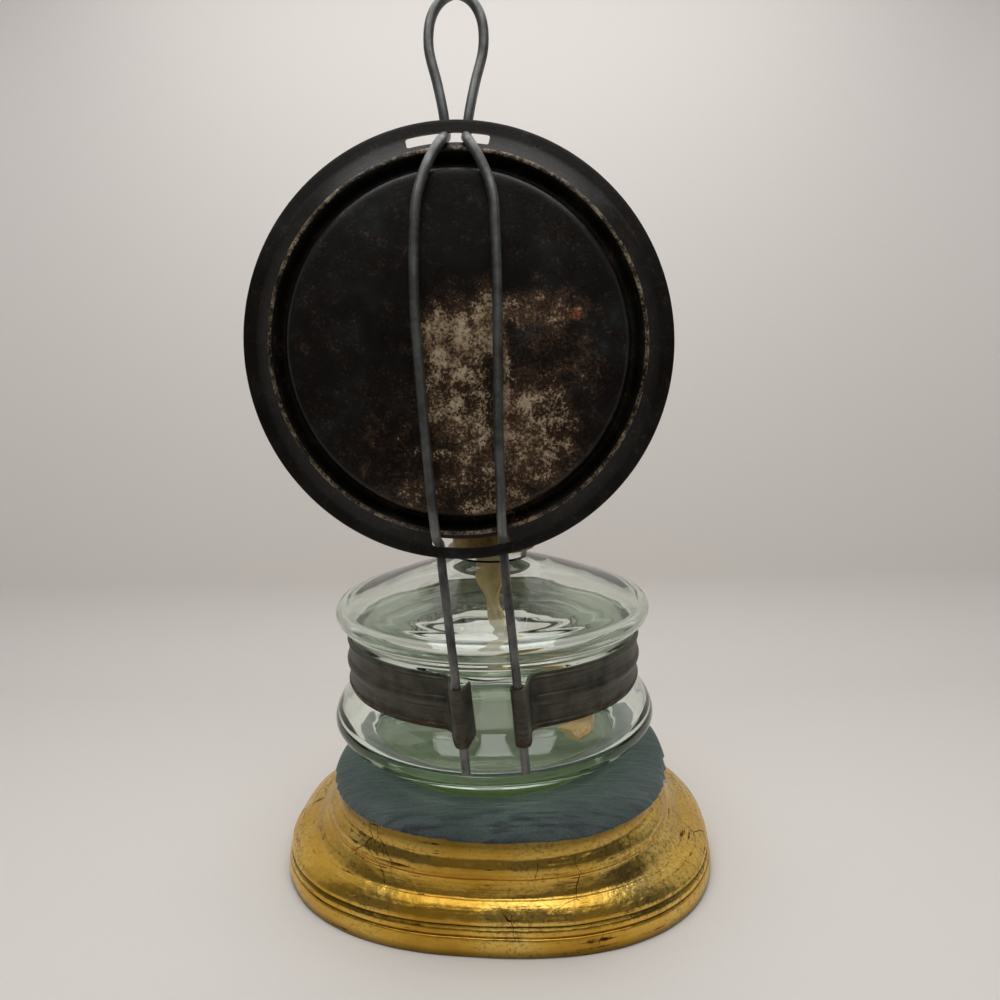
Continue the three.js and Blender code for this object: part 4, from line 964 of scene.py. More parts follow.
def grown(piece, tree, **values):
    """Runs a tree on a piece, its inputs set by their identifiers, and keeps the mesh."""
    modifier = piece.modifiers.new(tree.name, "NODES")
    modifier.node_group = tree
    for item in tree.interface.items_tree:
        if item.in_out == "INPUT" and item.name in values:
            modifier[item.identifier] = values[item.name]
    applied(piece)
    piece.data.set_sharp_from_angle(angle=SHARP)
    return piece


def rod_along_line():
    """A tree that sweeps a round section along a line of edges, with its UV in metres."""
    tree, node, given = geometry_tree("rod_along_line",
                                      {"Radius": "NodeSocketFloat", "Sides": "NodeSocketInt"})
    path = node("GeometryNodeMeshToCurve", [given["Geometry"]])
    ring = node("GeometryNodeCurvePrimitiveCircle",
                {"Resolution": given["Sides"], "Radius": given["Radius"]})
    lengths = []
    for line in (path, ring):
        along = node("GeometryNodeSplineParameter").outputs["Length"]
        kept = node("GeometryNodeCaptureAttribute")
        kept.capture_items.new("FLOAT", "Along")
        fill(kept, [line, along])
        lengths.append(kept.outputs)
    rod = node("GeometryNodeCurveToMesh", {0: lengths[0][0], 1: lengths[1][0], "Fill Caps": True})
    uv = node("CombineXYZ", [lengths[0][1], lengths[1][1]])
    rod = node("GeometryNodeStoreNamedAttribute", {0: rod, "Name": "UVMap", "Value": uv},
                   data_type="FLOAT2", domain="CORNER")
    end_tree(tree, rod, given["Material"])
    return tree


def copies_round_axis():
    """A tree that repeats a mesh at even turns round the upright axis."""
    tree, node, given = geometry_tree("copies_round_axis",
                                      {"Count": "NodeSocketInt", "First turn": "NodeSocketFloat"})
    spots = node("GeometryNodePoints", {"Count": given["Count"]})
    step = node("Math", [FULL_TURN, given["Count"]], operation="DIVIDE")
    index = node("GeometryNodeInputIndex")
    turn = node("Math", [index, step, given["First turn"]], operation="MULTIPLY_ADD")
    turn = node("CombineXYZ", {2: turn})
    copies = node("GeometryNodeInstanceOnPoints",
                  {0: spots, "Instance": given["Geometry"], "Rotation": turn})
    end_tree(tree, copies, given["Material"])
    return tree


def holes_round_axis():
    """A tree that drills a level row of round holes through a turned wall."""
    tree, node, given = geometry_tree("holes_round_axis",
                                      {"Count": "NodeSocketInt", "Hole radius": "NodeSocketFloat",
                                       "Wall radius": "NodeSocketFloat",
                                       "Height": "NodeSocketFloat"})
    ring = node("GeometryNodeMeshCircle", {"Vertices": given["Count"],
                                           "Radius": given["Wall radius"]})
    lift = node("CombineXYZ", {2: given["Height"]})
    place_at = node("GeometryNodeInputPosition")
    facing = node("FunctionNodeAlignRotationToVector", {"Vector": place_at}, axis="Z")
    drill = node("GeometryNodeMeshCylinder", {"Vertices": 24, "Radius": given["Hole radius"],
                                              "Depth": 4 * MM})
    drills = node("GeometryNodeInstanceOnPoints", {0: ring, "Instance": drill, "Rotation": facing})
    drills = node("GeometryNodeRealizeInstances", [drills])
    drills = node("GeometryNodeSetPosition", {0: drills, "Offset": lift})
    wall = node("GeometryNodeMeshBoolean", [given["Geometry"], drills], operation="DIFFERENCE",
                solver="EXACT")
    end_tree(tree, wall, given["Material"])
    return tree


def edge_line(name, points):
    """A line of edges for a tree to follow."""
    mesh = bpy.data.meshes.new(name)
    mesh.from_pydata([tuple(p) for p in points], [(i, i + 1) for i in range(len(points) - 1)], [])
    return added(name, mesh)


# Glass font and its collar

def font_wall(f):
    """The font's outer line of (radius, height), from its foot to the root of its neck."""
    foot = (f.foot_radius + f.foot_kick, f.foot_height)
    lower, upper = (f.lower_radius, f.lower_height), (f.upper_radius, f.upper_height)
    waist = [(f.waist_radius, lerp(f.waist_bottom, f.waist_top, share))
             for share in (0, 0.33, 0.67, 1)]
    points = [*between(foot, lower, [(0.03, 0.04), (0.44, 0.24), (0.8, 0.52)]),
              *between(lower, waist[0], [(0, 0), (0.16, 0.36), (0.62, 0.76)]), *waist,
              *between(waist[-1], upper, [(0.22, 0.2), (0.82, 0.6), (1, 1)]),
              *between(upper, (f.neck_radius, f.shoulder),
                       [(0.03, 0.155), (0.11, 0.26), (0.22, 0.36), (0.37, 0.49), (0.54, 0.64),
                        (0.73, 0.79), (0.92, 0.93), (0.99, 0.985)]),]
    return smooth_line(points, 170)


class LAMP_OT_font(bpy.types.Operator):
    """Builds the blown glass font with its thick foot and its brass collar"""
    bl_idname = "lamp.font"
    bl_label = "Glass font"

    def execute(self, context):
        f = context.scene.lamp_font
        wall = font_wall(f)
        foot = smooth_line([(f.foot_radius * across, f.foot_kick * up) for across, up in (
            (0, 1), (0.55, 0.9), (0.86, 0.25), (0.93, 0), (0.975, 0.2), (1, 1), (1.02, 2.2))], 50)
        neck_inside = f.neck_radius - f.neck_wall
        neck = rounded([(f.neck_radius, f.shoulder + f.neck_wall), (f.neck_radius, f.neck_top),
                        (neck_inside, f.neck_top), (neck_inside, f.shoulder)], 0.8 * MM, 5)
        rings = [np.abs(wall[:, 1] - height).argmin() for height in (
            f.foot_height, f.lower_height, lerp(f.lower_height, f.waist_bottom, 0.3), f.waist_top,
            lerp(f.waist_top, f.upper_height, 0.6), f.upper_height, f.shoulder)]
        thick = np.interp(range(len(wall)), rings, [
            1.2 * f.wall, f.bulge_wall, f.wall, f.wall, f.wall, f.bulge_wall, 0.7 * f.wall])
        inside = [p for p in offset_line(wall, -thick[:, None])[::7]
                  if p[1] > f.floor + 1.3 * f.wall and p[0] > f.neck_radius + 0.5 * f.wall]
        floor = [(f.foot_radius * across, f.floor + f.wall * up) for across, up in (
            (0, 0), (0.45, 0), (0.8, 0.08), (1.0, 0.45))]
        inside = smooth_line([*floor, *inside, (neck_inside, f.shoulder)], 130)
        outline = np.vstack([foot, wall, neck, inside[::-1]])
        outline[:, 1] += SEAT
        font = loft("blown_font", turned(outline, FACETS), closed_path=True, closed_section=False)
        place(font, "font", [blown_glass("green_soda_glass", f.tint, f.density,
                                                       f.ripple, SEAT + f.foot_height)],
              ["glass_font"])
        self.add_collar(f)
        return {"FINISHED"}

    def add_collar(self, f):
        crown, sleeve = f.collar_top - f.collar_sheet, f.thread_bore + f.collar_sheet
        bend = 1.1 * MM  # height of the flared hem
        outer = f.collar_radius
        outline = [(f.thread_bore, f.collar_top - f.thread_depth),
                   (sleeve, f.collar_top - f.thread_depth), (sleeve, crown),
                   (outer - f.collar_sheet, crown),
                   (outer - f.collar_sheet, f.collar_bottom + bend),
                   (f.collar_flare - f.collar_sheet, f.collar_bottom),
                   (f.collar_flare, f.collar_bottom + f.collar_sheet / 2),
                   (outer, f.collar_bottom + bend + f.collar_sheet / 2), (outer, f.collar_top),
                   (f.thread_bore, f.collar_top)]
        outline = rounded(outline, 0.35 * MM, 4, closed=True)
        outline[:, 1] += SEAT
        collar = loft("brass_collar", turned(outline, FACETS), closed_path=True)
        place(collar, "font",
              [aged_brass("tarnished_collar_brass", "#4A3B24", "#8C7444", 0.5)], ["font_collar"])


# Strap and wire

def leg_midline(w, height):
    """Where the middle between the wire's two legs is, sideways, at a height."""
    return w.leg_middle - math.tan(w.lean) * (height - w.leg_end)


def outward(angle):
    return Vector((math.cos(angle), math.sin(angle)))


def strap_stations(s, w, waist):
    """The strap's stations in plan, from the left clip's flap round the waist to the right clip.

    Each is a point, its outward direction, then how much it is clip, ribbed and flap, as shares."""
    middle = waist + 2 * GAP + s.sheet / 2
    wrap = w.diameter / 2 + GAP + s.sheet / 2
    height = s.middle - s.drop
    clips = {side: Vector((leg_midline(w, height) + side * w.leg_gap / 2, -w.stand_off))
             for side in (-1, 1)}
    legs = {side: math.atan2(clip.y, clip.x) for side, clip in clips.items()}
    leave = {side: angle + side * s.rise for side, angle in legs.items()}
    land = {side: angle + side * s.neck for side, angle in legs.items()}

    def on_wrap(side, angle):
        out = outward(angle)
        return clips[side] + out * wrap, out, 1, 0, 0

    def neck(side, shares):
        """An S-shaped neck from the clip down to the waist."""
        near, far = clips[side] + outward(leave[side]) * wrap, outward(land[side]) * middle
        reach = (near - far).length / 2
        a = near + outward(leave[side] + side * math.pi / 2) * reach
        b = far + outward(land[side] - side * math.pi / 2) * reach
        for t in shares:
            u = 1 - t
            point = near * u ** 3 + a * 3 * u * u * t + b * 3 * u * t * t + far * t ** 3
            along = ((a - near) * u * u + (b - a) * 2 * u * t + (far - b) * t * t).normalized()
            yield point, Vector((side * along.y, -side * along.x)), u, t * t, 0

    flap_turn = leave[-1] + FLAP_WRAP
    point, out, *_ = on_wrap(-1, flap_turn)
    along = Vector((-out.y, out.x))
    steps = np.linspace(0.05, 0.95, 18)
    return [*[(point + along * s.flap * share, out, 1, 0, share)
              for share in np.linspace(1, 0.1, 10)],
            *[on_wrap(-1, angle) for angle in np.linspace(flap_turn, leave[-1], 22)],
            *neck(-1, steps), *[(outward(angle) * middle, outward(angle), 0, 1, 0)
                                for angle in np.linspace(land[-1], land[1] - FULL_TURN, 170)],
            *neck(1, steps[::-1]),
            *[on_wrap(1, angle) for angle in np.linspace(leave[1], leave[1] - TUBE_WRAP, 60)],]


class LAMP_OT_strap(bpy.types.Operator):
    """Builds the ribbed tin strap, its ends folded round the wire's legs"""
    bl_idname = "lamp.strap"
    bl_label = "Waist strap"

    def execute(self, context):
        s, w, f = context.scene.lamp_strap, context.scene.lamp_wire, context.scene.lamp_font
        rib_shares = smooth_line([(0, 0), (0.03, 0.05), (0.08, 0.6), (0.13, 0.05), (0.2, 0),
                                  (0.34, 0), (0.42, 0.55), (0.5, 1), (0.58, 0.55), (0.66, 0),
                                  (0.8, 0), (0.87, 0.05), (0.92, 0.6), (0.97, 0.05), (1, 0)], 56)
        sections = []
        for point, out, clip, rib, flap in strap_stations(s, w, f.waist_radius):
            low = s.middle - s.width / 2 - s.drop * clip + s.flap * 0.85 * flap
            high = s.middle + s.width / 2 - s.drop * clip + s.flap * 0.45 * flap
            faces = []
            for side in (1, -1):
                row = []
                for across, swell in rib_shares:
                    height = lerp(low, high, min(max(across, 0), 1))
                    lean = clip * (leg_midline(w, height) - leg_midline(w, s.middle - s.drop))
                    reach = side * s.sheet / 2 + s.rib * swell * rib
                    row.append((point.x + out.x * reach + lean, point.y + out.y * reach,
                                SEAT + height))
                faces.append(row)
            sections.append(faces[0] + faces[1][::-1])
        strap = loft("ribbed_strap", shaken(sections, 0.1 * MM, 9 * MM, 11))
        low_edge = SEAT + s.middle - s.width / 2
        place(strap, "font", [strap_tin("darkened_strap_tinplate", "#2F2E28",
                                                     "#5E5B50", low_edge)], ["waist_strap"])
        return {"FINISHED"}


def wire_route(w, r):
    """The wire's line: up a leg, through the slots over the pan's back, round the loop and down."""
    front = -w.stand_off
    back = -(r.stand_off + r.floor_rise + r.crown + w.back_gap)
    over_ridge = -(r.stand_off + r.ridge_rise + w.diameter / 2 + w.clear)
    in_slot = -(r.stand_off + r.ridge_rise / 2)
    off_ridge = lerp(back, over_ridge, 1 / 3)
    crest = r.ridge_radius + 2 * GAP
    leg_top = r.height - r.radius - w.diameter
    half = w.leg_gap / 2
    rows = [(height, front, half, leg_midline(w, height))
            for height in np.linspace(w.leg_end, leg_top, 6)]
    # through a slot and over the ridge: distance from the pan's middle, depth, half gap, midline
    low = [(r.slot_radius + w.kink, front, 1, 0.71), (r.slot_radius, in_slot, 1, 0.72),
           (crest, over_ridge, 1, 0.74), (r.floor_radius + r.lip, off_ridge, 1, 0.77)]
    high = [(r.floor_radius + r.lip, off_ridge, 0.72, 0.93), (crest, over_ridge, 0.42, 0.93),
            (r.slot_radius, in_slot, 0.32, 0.94), (r.slot_radius + w.kink, front, 0.3, 0.94)]
    # across the floor: height from its middle, half gap and midline, as shares
    across_shares = [(-0.91, 1.02, 0.8), (-0.557, 1.06, 0.9), (-0.155, 1.12, 0.96), (0.25, 1.17, 1),
                     (0.66, 1.13, 0.98), (0.874, 1.03, 0.94)]
    # the hanging loop: height from the rim to its top, half its width, then its midline, as shares
    loop_shares = [(0.06, 0.46, 0.914), (0.3, 0.68, 0.89), (0.6, 1, 0.86), (0.82, 0.9, 0.838),
                   (0.95, 0.52, 0.825)]
    legs = []
    for side in (-1, 1):
        leg = [(mid + side * spread, depth, height) for height, depth, spread, mid in rows]
        for way, crossings in ((-1, low), (1, high)):
            for far, depth, spread, mid in crossings:
                x = r.side * mid + side * half * spread
                leg.append((x, depth, r.height + way * math.sqrt(far ** 2 - (x - r.side) ** 2)))
            if way < 0:
                leg += [(r.side * mid + side * half * spread, back, r.height + r.floor_radius * up)
                        for up, spread, mid in across_shares]
        for up, spread, mid in loop_shares:
            leg.append((r.side * mid + side * w.loop_width / 2 * spread, front,
                        lerp(r.height + r.radius, w.top, up)))
        legs.append(leg)
    route = np.array([*legs[0], (r.side * 0.82, front, w.top), *legs[1][::-1]])
    route[:, 2] += SEAT
    return route


class LAMP_OT_wire(bpy.types.Operator):
    """Builds the bent wire with its hanging loop"""
    bl_idname = "lamp.wire"
    bl_label = "Bent wire"

    def execute(self, context):
        w, r = context.scene.lamp_wire, context.scene.lamp_reflector
        wire = edge_line("drawn_wire_frame", smooth_line(wire_route(w, r), 560))
        grown(wire, rod_along_line(), Radius=w.diameter / 2, Sides=28, Material=drawn_wire())
        place(wire, "reflector_frame", [], ["bent_wire"])
        return {"FINISHED"}


# Reflector

def arc_cutter(inner, outer, middle, sweep, low, high):
    """A closed arc-shaped block, its corners a little rounded as a punch's are."""
    centre = (inner + outer) / 2
    half = centre * sweep / 2
    flat = rounded([(-half, inner), (half, inner), (half, outer), (-half, outer)], 0.7 * MM, 4,
                   closed=True)
    outline = [outward(middle + x / centre) * radius for x,
               radius in even([*flat, flat[0]], 180)[:-1]]
    return loft("arc_cutter", [[(p.x, p.y, z) for p in outline] for z in (low, high)])


class LAMP_OT_reflector(bpy.types.Operator):
    """Builds the pressed tin reflector with its raised ring, flat back and two slots"""
    bl_idname = "lamp.reflector"
    bl_label = "Reflector"

    def execute(self, context):
        r = context.scene.lamp_reflector
        lip_inner = r.radius - r.lip
        half = 0.5 * MM  # half of the raised ring's rounded top
        shelf = r.floor_radius + r.lip
        outside = [(r.radius, 0), (r.radius - 0.1 * MM, r.sheet), (r.radius - half, r.sheet * 1.35),
                   (r.radius - 2.6 * half, r.sheet * 1.45), (lip_inner, r.groove_rise),
                   *between((lip_inner, r.groove_rise), (r.ridge_radius, r.ridge_rise),
                            [(0.12, 0.02), (0.5, 0.4), (0.86, 0.84), (1, 1)]),
                   (r.ridge_radius - half, r.ridge_rise + 0.1 * MM),
                   *between((r.ridge_radius - 2 * half, r.ridge_rise), (shelf, r.groove_rise),
                            [(0.1, 0.22), (0.38, 0.85), (0.55, 1), (0.85, 1)]),
                   *between((shelf, r.groove_rise), (r.floor_radius, r.floor_rise),
                            [(0, 0.12), (0.5, 0.84), (0.8, 0.98), (1, 1)]),
                   (r.floor_radius * 0.9, r.floor_rise + r.crown * 0.2),
                   (r.floor_radius * 0.55, r.floor_rise + r.crown * 0.7),
                   (r.floor_radius * 0.2, r.floor_rise + r.crown * 0.97),
                   (0, r.floor_rise + r.crown)]
        outside = smooth_line(outside, 170)
        inside = offset_line(outside, -r.sheet)[::-1]
        inside[0, 0] = 0
        outline = np.vstack([outside, inside, outside[:1]])
        backs = len(outside) - 1
        fronts = [0] * backs + [1] * (len(outline) - backs)
        pan = loft("pressed_reflector", turned(outline, 192), closed_path=True,
                   closed_section=False, slots=fronts)
        centre = (r.side, -r.stand_off, SEAT + r.height)
        for material in (japanned_tin(centre, r.ridge_radius), bright_tin()):
            pan.data.materials.append(material)
        inner, outer = r.slot_radius - r.slot_width / 2, r.slot_radius + r.slot_width / 2
        cut(pan, *[arc_cutter(inner, outer, turn, SLOT_SWEEP, -2 * MM, 12 * MM)
                   for turn in SLOT_TURNS])
        pan.data.set_sharp_from_angle(angle=SHARP)
        move(pan, Matrix.Translation(centre) @ Matrix.Rotation(math.pi / 2, 4, "X"))
        place(pan, "reflector_frame", [], ["reflector"])
        return {"FINISHED"}


# Burner

def burner_heights(f, b):
    """The heights of the burner's pieces, each seated on the one below it."""
    seat = f.collar_top + GAP  # the collar carries the thread ring's flange
    ring_top = seat + b.sheet
    cup = ring_top + GAP
    basket = cup + b.cup_height + GAP
    gallery = basket + b.basket_height + GAP
    cone = gallery + b.gallery_sheet + GAP
    heights = {"seat": seat, "ring_top": ring_top, "cup": cup, "basket": basket, "gallery": gallery,
               "cone": cone, "tube_top": cone + b.cone_height * TUBE_REACH,
               "shaft": cup + b.cup_height * SHAFT_REACH}
    return {name: SEAT + height for name, height in heights.items()}


def rod_along_x(name, radius, start, end, y, z, edge=0.2 * MM):
    """A round rod along X, its ends a little rounded."""
    outline = rounded([(0, start), (radius, start), (radius, end), (0, end)], edge)
    rod = loft(name, turned(outline, SHAFT_FACETS), closed_path=True, closed_section=False)
    return move(rod, Matrix.Translation((0, y, z)) @ Matrix.Rotation(math.pi / 2, 4, "Y"))


def tube_passage(k, low, high):
    """A cutter that passes the flat wick tube with its clearance."""
    room = 2 * (k.clearance + TUBE_SHEET + GAP)
    length, depth = k.width + room, k.thickness + room
    corners = [(x * length / 2, y * depth / 2) for x, y in ((-1, -1), (1, -1), (1, 1), (-1, 1))]
    outline = rounded(corners, 0.3 * depth, 5, closed=True)
    return loft("tube_passage", [[(x, y, z) for x, y in outline] for z in (low, high)])


class LAMP_OT_burner(bpy.types.Operator):
    """Builds the burner: ring, cup, air basket, gallery, flame cone, prongs and sleeve"""
    bl_idname = "lamp.burner"
    bl_label = "Burner"

    def execute(self, context):
        f, b, k = context.scene.lamp_font, context.scene.lamp_burner, context.scene.lamp_wick
        at = burner_heights(f, b)
        brass = aged_brass("tarnished_burner_brass", "#5A4526", "#A88A4C", 0.6)
        for node in ("wick_tube", "spur_wheel_left", "spur_wheel_right"):
            for slot in bpy.data.objects[node].material_slots:
                slot.material = brass
        pieces = [(self.thread_ring(f, b, at), "thread_ring", "burner_thread_ring"),
                  (self.cup(b, k, at), "burner", "burner_cup"),
                  (self.basket(b, at, brass), "burner", "air_basket"),
                  (self.gallery(b, at), "burner", "gallery_plate"),
                  (self.cone(b, at), "burner", "flame_cone"),
                  (self.prongs(b, at, brass), "burner",
                   *[f"chimney_prong_{i}" for i in (1, 2, 3, 4)]),
                  (self.sleeve(b, at), "burner", "raiser_sleeve"),]
        for piece, body, *nodes in pieces:
            place(piece, body, [] if piece.data.materials else [brass], nodes)
        return {"FINISHED"}

    def thread_ring(self, f, b, at):
        """The male ring, with its thread cut as one long spiral."""
        outer, low = f.thread_bore - GAP, at["seat"] - GAP - f.thread_depth
        inner = outer - 1.0 * MM
        heights = np.linspace(low, at["seat"] - 0.6 * MM, 90)
        ends = np.minimum(1, np.minimum(heights - low, heights[-1] - heights) / (0.8 * MM))
        sections = []
        for turn in even_turns(SMALL_FACETS):
            wave = 0.5 - 0.5 * np.cos(FULL_TURN * heights / b.thread_pitch - turn)
            wall = np.stack([outer - 0.45 * MM * wave * ends, heights], axis=1)
            flange = rounded([(outer, heights[-1]), (outer, at["seat"]),
                              (b.ring_flange, at["seat"]), (b.ring_flange, at["ring_top"]),
                              (inner, at["ring_top"]), (inner, low)], 0.25 * MM)
            outline = np.vstack([wall, flange[1:]])
            sections.append(np.stack([outline[:, 0] * math.cos(turn),
                                      outline[:, 0] * math.sin(turn), outline[:, 1]], axis=1))
        return loft("thread_ring_brass", sections, closed_path=True)

    def cup(self, b, k, at):
        """The spun cup, slotted for the wick tube and drilled for the raiser's sleeve."""
        top = at["cup"] + b.cup_height
        outside = rounded([(0, at["cup"]), (b.cup_floor, at["cup"]),
                           *between((b.cup_floor, at["cup"]), (b.cup_radius, top),
                                    [(0.35, 0.1), (0.72, 0.45), (0.95, 0.82)]),
                           (b.cup_radius + 0.2 * MM, top - b.sheet),
                           (b.basket_radius, top - b.sheet)], 1.2 * MM, 5)
        inside = offset_line(outside, -b.sheet)[::-1]
        inside[-1, 0] = 0
        cup = loft("burner_cup_brass", turned(np.vstack([outside, inside]), SMALL_FACETS),
                   closed_path=True, closed_section=False)
        hole = rod_along_x("hole", b.shaft_radius + 2 * GAP + b.sleeve_wall,
                           -b.basket_radius - 2 * MM, -b.shaft_in, b.shaft_back, at["shaft"])
        cut(cup, tube_passage(k, at["cup"] - 2 * MM, top), hole)
        cup.data.set_sharp_from_angle(angle=SHARP)
        return cup

    def basket(self, b, at, brass):
        """The drum under the gallery, with a row of round air holes."""
        wide, sheet_, low = b.basket_radius, b.sheet, at["basket"]
        top = low + b.basket_height
        outline = rounded([(wide - sheet_, low), (wide, low), (wide, top), (b.gallery_opening, top),
                           (b.gallery_opening, top - sheet_), (wide - sheet_, top - sheet_)],
                          0.45 * MM, 4, closed=True)
        basket = loft("air_basket_brass", turned(outline, SMALL_FACETS), closed_path=True)
        return grown(basket, holes_round_axis(), **{
            "Count": b.holes, "Hole radius": b.hole_diameter / 2, "Wall radius": wide,
            "Height": low + b.basket_height / 2 - GAP, "Material": brass})

    def gallery(self, b, at):
        low, top = at["gallery"], at["gallery"] + b.gallery_sheet
        outline = rounded([(b.gallery_opening, low), (b.gallery_radius, low),
                           (b.gallery_radius, top), (b.gallery_opening, top)], 0.35 * MM, 4,
                          closed=True)
        return loft("gallery_plate_brass", turned(outline, SMALL_FACETS), closed_path=True)

    def cone(self, b, at):
        """The domed cone over the wick, with its long flame slot."""
        top = at["cone"] + b.cone_height
        outside = smooth_line([(b.cone_radius, at["cone"]),
                               *between((b.cone_radius, at["cone"]), (0, top),
                                        [(0.03, 0.1), (0.06, 0.34), (0.16, 0.6), (0.34, 0.8),
                                         (0.6, 0.93)]), (0, top)], 60)
        inside = offset_line(outside, -b.sheet)[::-1]
        inside[0, 0] = 0
        cone = loft("flame_cone_brass", turned(np.vstack([outside, inside, outside[:1]]),
                                               SMALL_FACETS), closed_path=True,
                    closed_section=False)
        corners = [(x * b.cone_slot / 2, y * b.cone_slot_width / 2) for x,
                   y in ((-1, -1), (1, -1), (1, 1), (-1, 1))]
        slot = rounded(corners, 0.3 * b.cone_slot_width, 5, closed=True)
        cut(cone,
            loft("slot",
                 [[(x, y, z) for x, y in slot]
                  for z in (lerp(at["cone"], top, 0.6), top + 2 * MM)]))
        cone.data.set_sharp_from_angle(angle=SHARP)
        return cone

    def prongs(self, b, at, brass):
        """The four spring prongs that hold the chimney, each bowed out and back."""
        foot = b.gallery_radius + GAP
        line = smooth_line([(foot + b.prong_bow * bow, at["gallery"] + b.prong_height * up) for bow,
                            up in ((0, 0), (0.35, 0.2), (1, 0.45), (-0.08, 0.8), (1, 1))], 40)
        outline = sheet(line, b.prong_sheet)
        inner = line.mean(axis=0)
        rows = []
        for share, shrink in ((-0.5, 0.9), (-0.46, 1), (0.46, 1), (0.5, 0.9)):
            rows.append([(x, b.prong_width * share,
                          inner[1] + (z - inner[1]) * (1 if shrink == 1 else 0.995)) for x,
                         z in outline])
        prong = loft("spring_prongs_brass", rows)
        return grown(prong, copies_round_axis(),
                     **{"Count": 4, "First turn": math.pi / 4, "Material": brass})

    def sleeve(self, b, at):
        inner = b.shaft_radius + GAP
        outline = rounded([(inner, -b.sleeve_out), (inner + b.sleeve_wall, -b.sleeve_out),
                           (inner + b.sleeve_wall, -b.sleeve_in), (inner, -b.sleeve_in)], 0.2 * MM,
                          closed=True)
        sleeve = loft("raiser_sleeve_brass", turned(outline, SHAFT_FACETS), closed_path=True)
        return move(sleeve, Matrix.Translation((0, b.shaft_back, at["shaft"]))
                    @ Matrix.Rotation(math.pi / 2, 4, "Y"))


class LAMP_OT_raiser(bpy.types.Operator):
    """Builds the wick raiser's shaft and its notched knob"""
    bl_idname = "lamp.raiser"
    bl_label = "Wick raiser"

    def execute(self, context):
        b = context.scene.lamp_burner
        at = burner_heights(context.scene.lamp_font, b)
        shaft = rod_along_x("raiser_shaft_wire", b.shaft_radius, -b.shaft_out, b.shaft_in,
                            b.shaft_back, at["shaft"])
        place(shaft, "raiser", [drawn_wire()], ["raiser_shaft"])
        self.add_knob(b, at)
        return {"FINISHED"}

    def add_knob(self, b, at):
        """The pressed knob: a hub, a dished face and round notches in its rim."""
        bore, hub, long = b.shaft_radius + GAP, b.knob_hub, b.knob_hub_length
        seat = long + 0.3 * b.knob_thickness
        outline = rounded([
            (bore, 0), (hub, 0), (hub, long),
            *[(b.knob_radius * across, long + b.knob_thickness * along) for across, along in (
                (0.94, 0), (1, 0.15), (1, 0.8), (0.9, 1), (0.55, 0.75), (0, 0.8))],
            (0, seat), (bore, seat), (bore, 0)], 0.5 * MM, 5)
        grid = turned(outline, KNOB_FACETS)
        turns = even_turns(KNOB_FACETS)
        step = FULL_TURN / b.knob_notches
        far = np.abs((turns + step / 2) % step - step / 2) * b.knob_radius
        bite = np.sqrt(np.maximum(0, (0.8 * MM) ** 2 - far ** 2))
        reach = np.clip((outline[:, 0] - 0.8 * b.knob_radius) / (0.1 * b.knob_radius), 0, 1)
        kept = 1 - bite[:, None] * reach[None, :] / b.knob_radius
        grid[:, :, :2] *= kept[:, :, None]
        knob = loft("raiser_knob_brass", grid, closed_path=True, closed_section=False)
        face = -(b.shaft_out + GAP - seat)
        move(knob, Matrix.Translation((face, b.shaft_back, at["shaft"]))
             @ Matrix.Rotation(-math.pi / 2, 4, "Y"))
        place(knob, "raiser",
              [aged_brass("rubbed_knob_brass", "#6B5430", "#B89A58", 0.4)], ["raiser_knob"])


class LAMP_OT_wick(bpy.types.Operator):
    """Builds the flat cotton wick, straight in its tube and curling low in the font"""
    bl_idname = "lamp.wick"
    bl_label = "Wick"

    def execute(self, context):
        f, b, k = context.scene.lamp_font, context.scene.lamp_burner, context.scene.lamp_wick
        top = burner_heights(f, b)["tube_top"] + k.rise
        loose = SEAT + f.shoulder - f.wall
        low = SEAT + f.floor + k.width / 2 + k.feed
        wide = 20 * MM  # how much the width's direction counts beside the place, on the smooth line
        stations = [(0, 0, lerp(top, loose, share), wide, 0, 0) for share in (0, 0.3, 0.6, 0.85)]
        # across, to the back, height from the low end to the neck, then the width's direction
        route_shares = [
            (0, 0, 1, 1, 0, 0), (-0.02, 0, 0.84, 0.85, -0.5, 0), (0, -0.02, 0.68, 0.3, -0.95, 0),
            (0.03, -0.05, 0.54, 0.5, -0.85, 0.1), (0.13, -0.1, 0.43, -0.1, -0.6, 0.75),
            (0.3, -0.16, 0.36, -0.25, -0.45, 0.85), (0.46, -0.24, 0.26, -0.1, -0.5, 0.85),
            (0.57, -0.33, 0.12, 0.35, -0.65, 0.6), (0.58, -0.42, 0.0, 0.6, -0.75, 0.2),
            (0.49, -0.49, -0.03, 0.5, -0.8, 0.1)]
        for across, back, up, x, y, z in route_shares:
            stations.append((f.waist_radius * across, f.waist_radius * back, lerp(low, loose, up),
                             wide * x, wide * y, wide * z))
        line = smooth_line(stations, 260)
        half = [k.width / 2 - k.thickness / 2, k.thickness / 2]
        ring = [(math.copysign(half[0], math.cos(t)) + half[1] * math.cos(t), half[1] * math.sin(t))
                for t in np.linspace(0, FULL_TURN, 25)[:-1] + 0.13]
        sections = []
        for point, along, across in zip(line[:, :3], np.gradient(line[:, :3], axis=0), line[:, 3:]):
            along /= np.linalg.norm(along)
            across = across - along * np.dot(along, across)
            across /= np.linalg.norm(across)
            out = np.cross(along, across)
            sections.append([point + across * x + out * y for x,
                             y in even([*ring, ring[0]], 61)[:-1]])
        wick = loft("flat_cotton_wick", sections)
        length = np.linalg.norm(np.diff(line[:, :3], axis=0), axis=1).sum()
        place(wick, "wick", [woven_wick(length - 34 * MM, length - 6 * MM)],
              ["wick"])
        return {"FINISHED"}


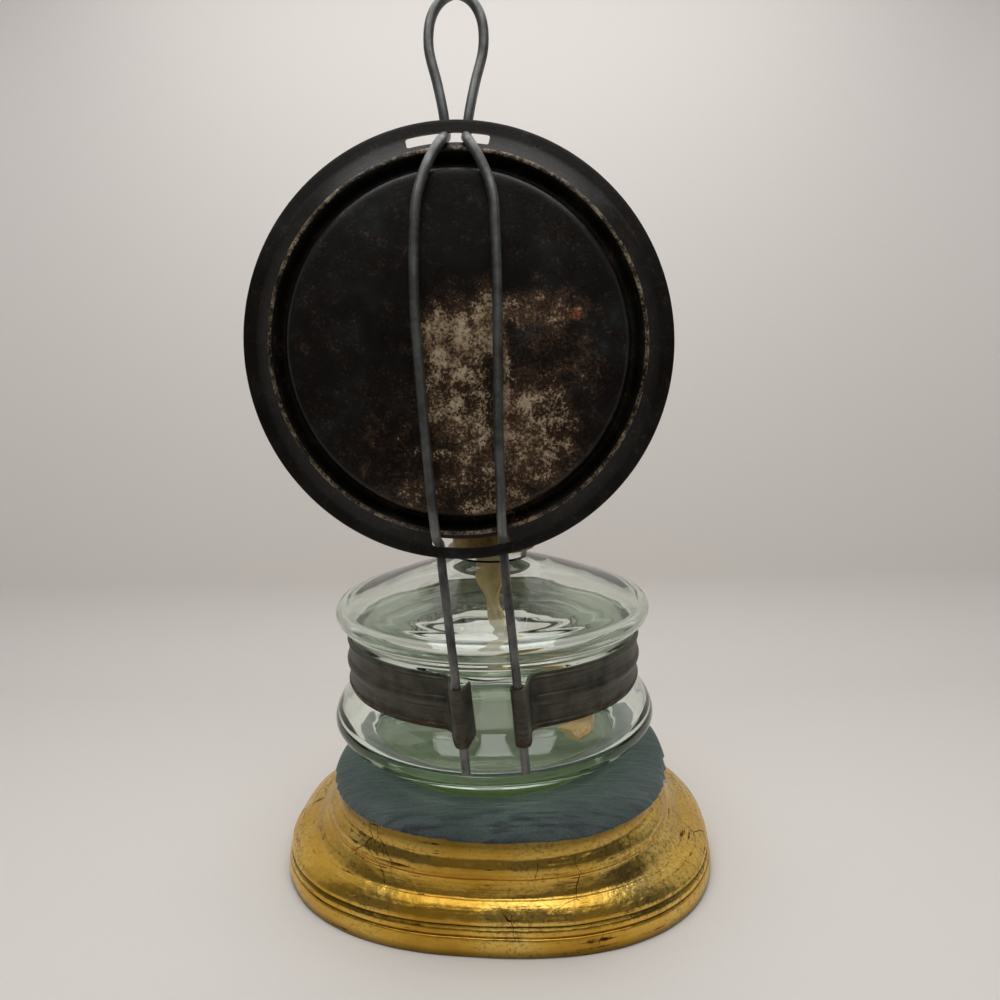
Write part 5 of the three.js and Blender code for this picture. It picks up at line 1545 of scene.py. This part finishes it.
class LAMP_OT_chimney(bpy.types.Operator):
    """Builds the clear glass chimney"""
    bl_idname = "lamp.chimney"
    bl_label = "Chimney"

    def execute(self, context):
        c = context.scene.lamp_chimney
        b = context.scene.lamp_burner
        low = burner_heights(context.scene.lamp_font, b)["gallery"] + b.gallery_sheet + GAP

        def ring(radius, shares):
            return [(radius * across, low + c.height * up) for across, up in shares]
        line = smooth_line([
            *ring(c.base, [(1, 0), (1, 0.035), (1, 0.07), (0.93, 0.1), (0.95, 0.11)]),
            *ring(c.bulge, [(0.9, 0.17), (1, 0.26), (0.86, 0.38)]),
            *ring(c.top, [(1.08, 0.58), (0.96, 0.8), (1, 0.985), (1, 1)])], 220)
        outline = rounded(sheet(line, -c.wall), 0.5 * c.wall, 4, closed=True)
        chimney = loft("glass_chimney", turned(outline, FACETS), closed_path=True)
        place(chimney, "chimney",
              [blown_glass("clear_chimney_glass", "#D5E6DC", 20.0, 0.02 * MM)], ["chimney"])
        return {"FINISHED"}


# The whole

OPERATORS = (LAMP_OT_stage, LAMP_OT_stand, LAMP_OT_pad, LAMP_OT_font, LAMP_OT_strap, LAMP_OT_wire,
             LAMP_OT_reflector, LAMP_OT_burner, LAMP_OT_raiser, LAMP_OT_wick, LAMP_OT_chimney)


class LAMP_PT_panel(bpy.types.Panel):
    """The lamp's sizes and the buttons that build its pieces"""
    bl_idname = "LAMP_PT_panel"
    bl_label = "Kerosene lamp"
    bl_space_type = "VIEW_3D"
    bl_region_type = "UI"
    bl_category = "Lamp"

    def draw(self, context):
        for operator in OPERATORS:
            self.layout.operator(operator.bl_idname)
        for name, group in SETTINGS.items():
            box = self.layout.box()
            box.label(text=name.title())
            for key in group.__annotations__:
                box.prop(getattr(context.scene, "lamp_" + name), key)


def register():
    for group in (*SETTINGS.values(), *OPERATORS, LAMP_PT_panel):
        bpy.utils.register_class(group)
    for name, group in SETTINGS.items():
        setattr(bpy.types.Scene, "lamp_" + name, PointerProperty(type=group))


def unregister():
    for name in SETTINGS:
        delattr(bpy.types.Scene, "lamp_" + name)
    for group in reversed((*SETTINGS.values(), *OPERATORS, LAMP_PT_panel)):
        bpy.utils.unregister_class(group)


def main():
    register()
    for operator in OPERATORS:
        area, name = operator.bl_idname.split(".")
        getattr(getattr(bpy.ops, area), name)()


if __name__ == "__main__":
    main()
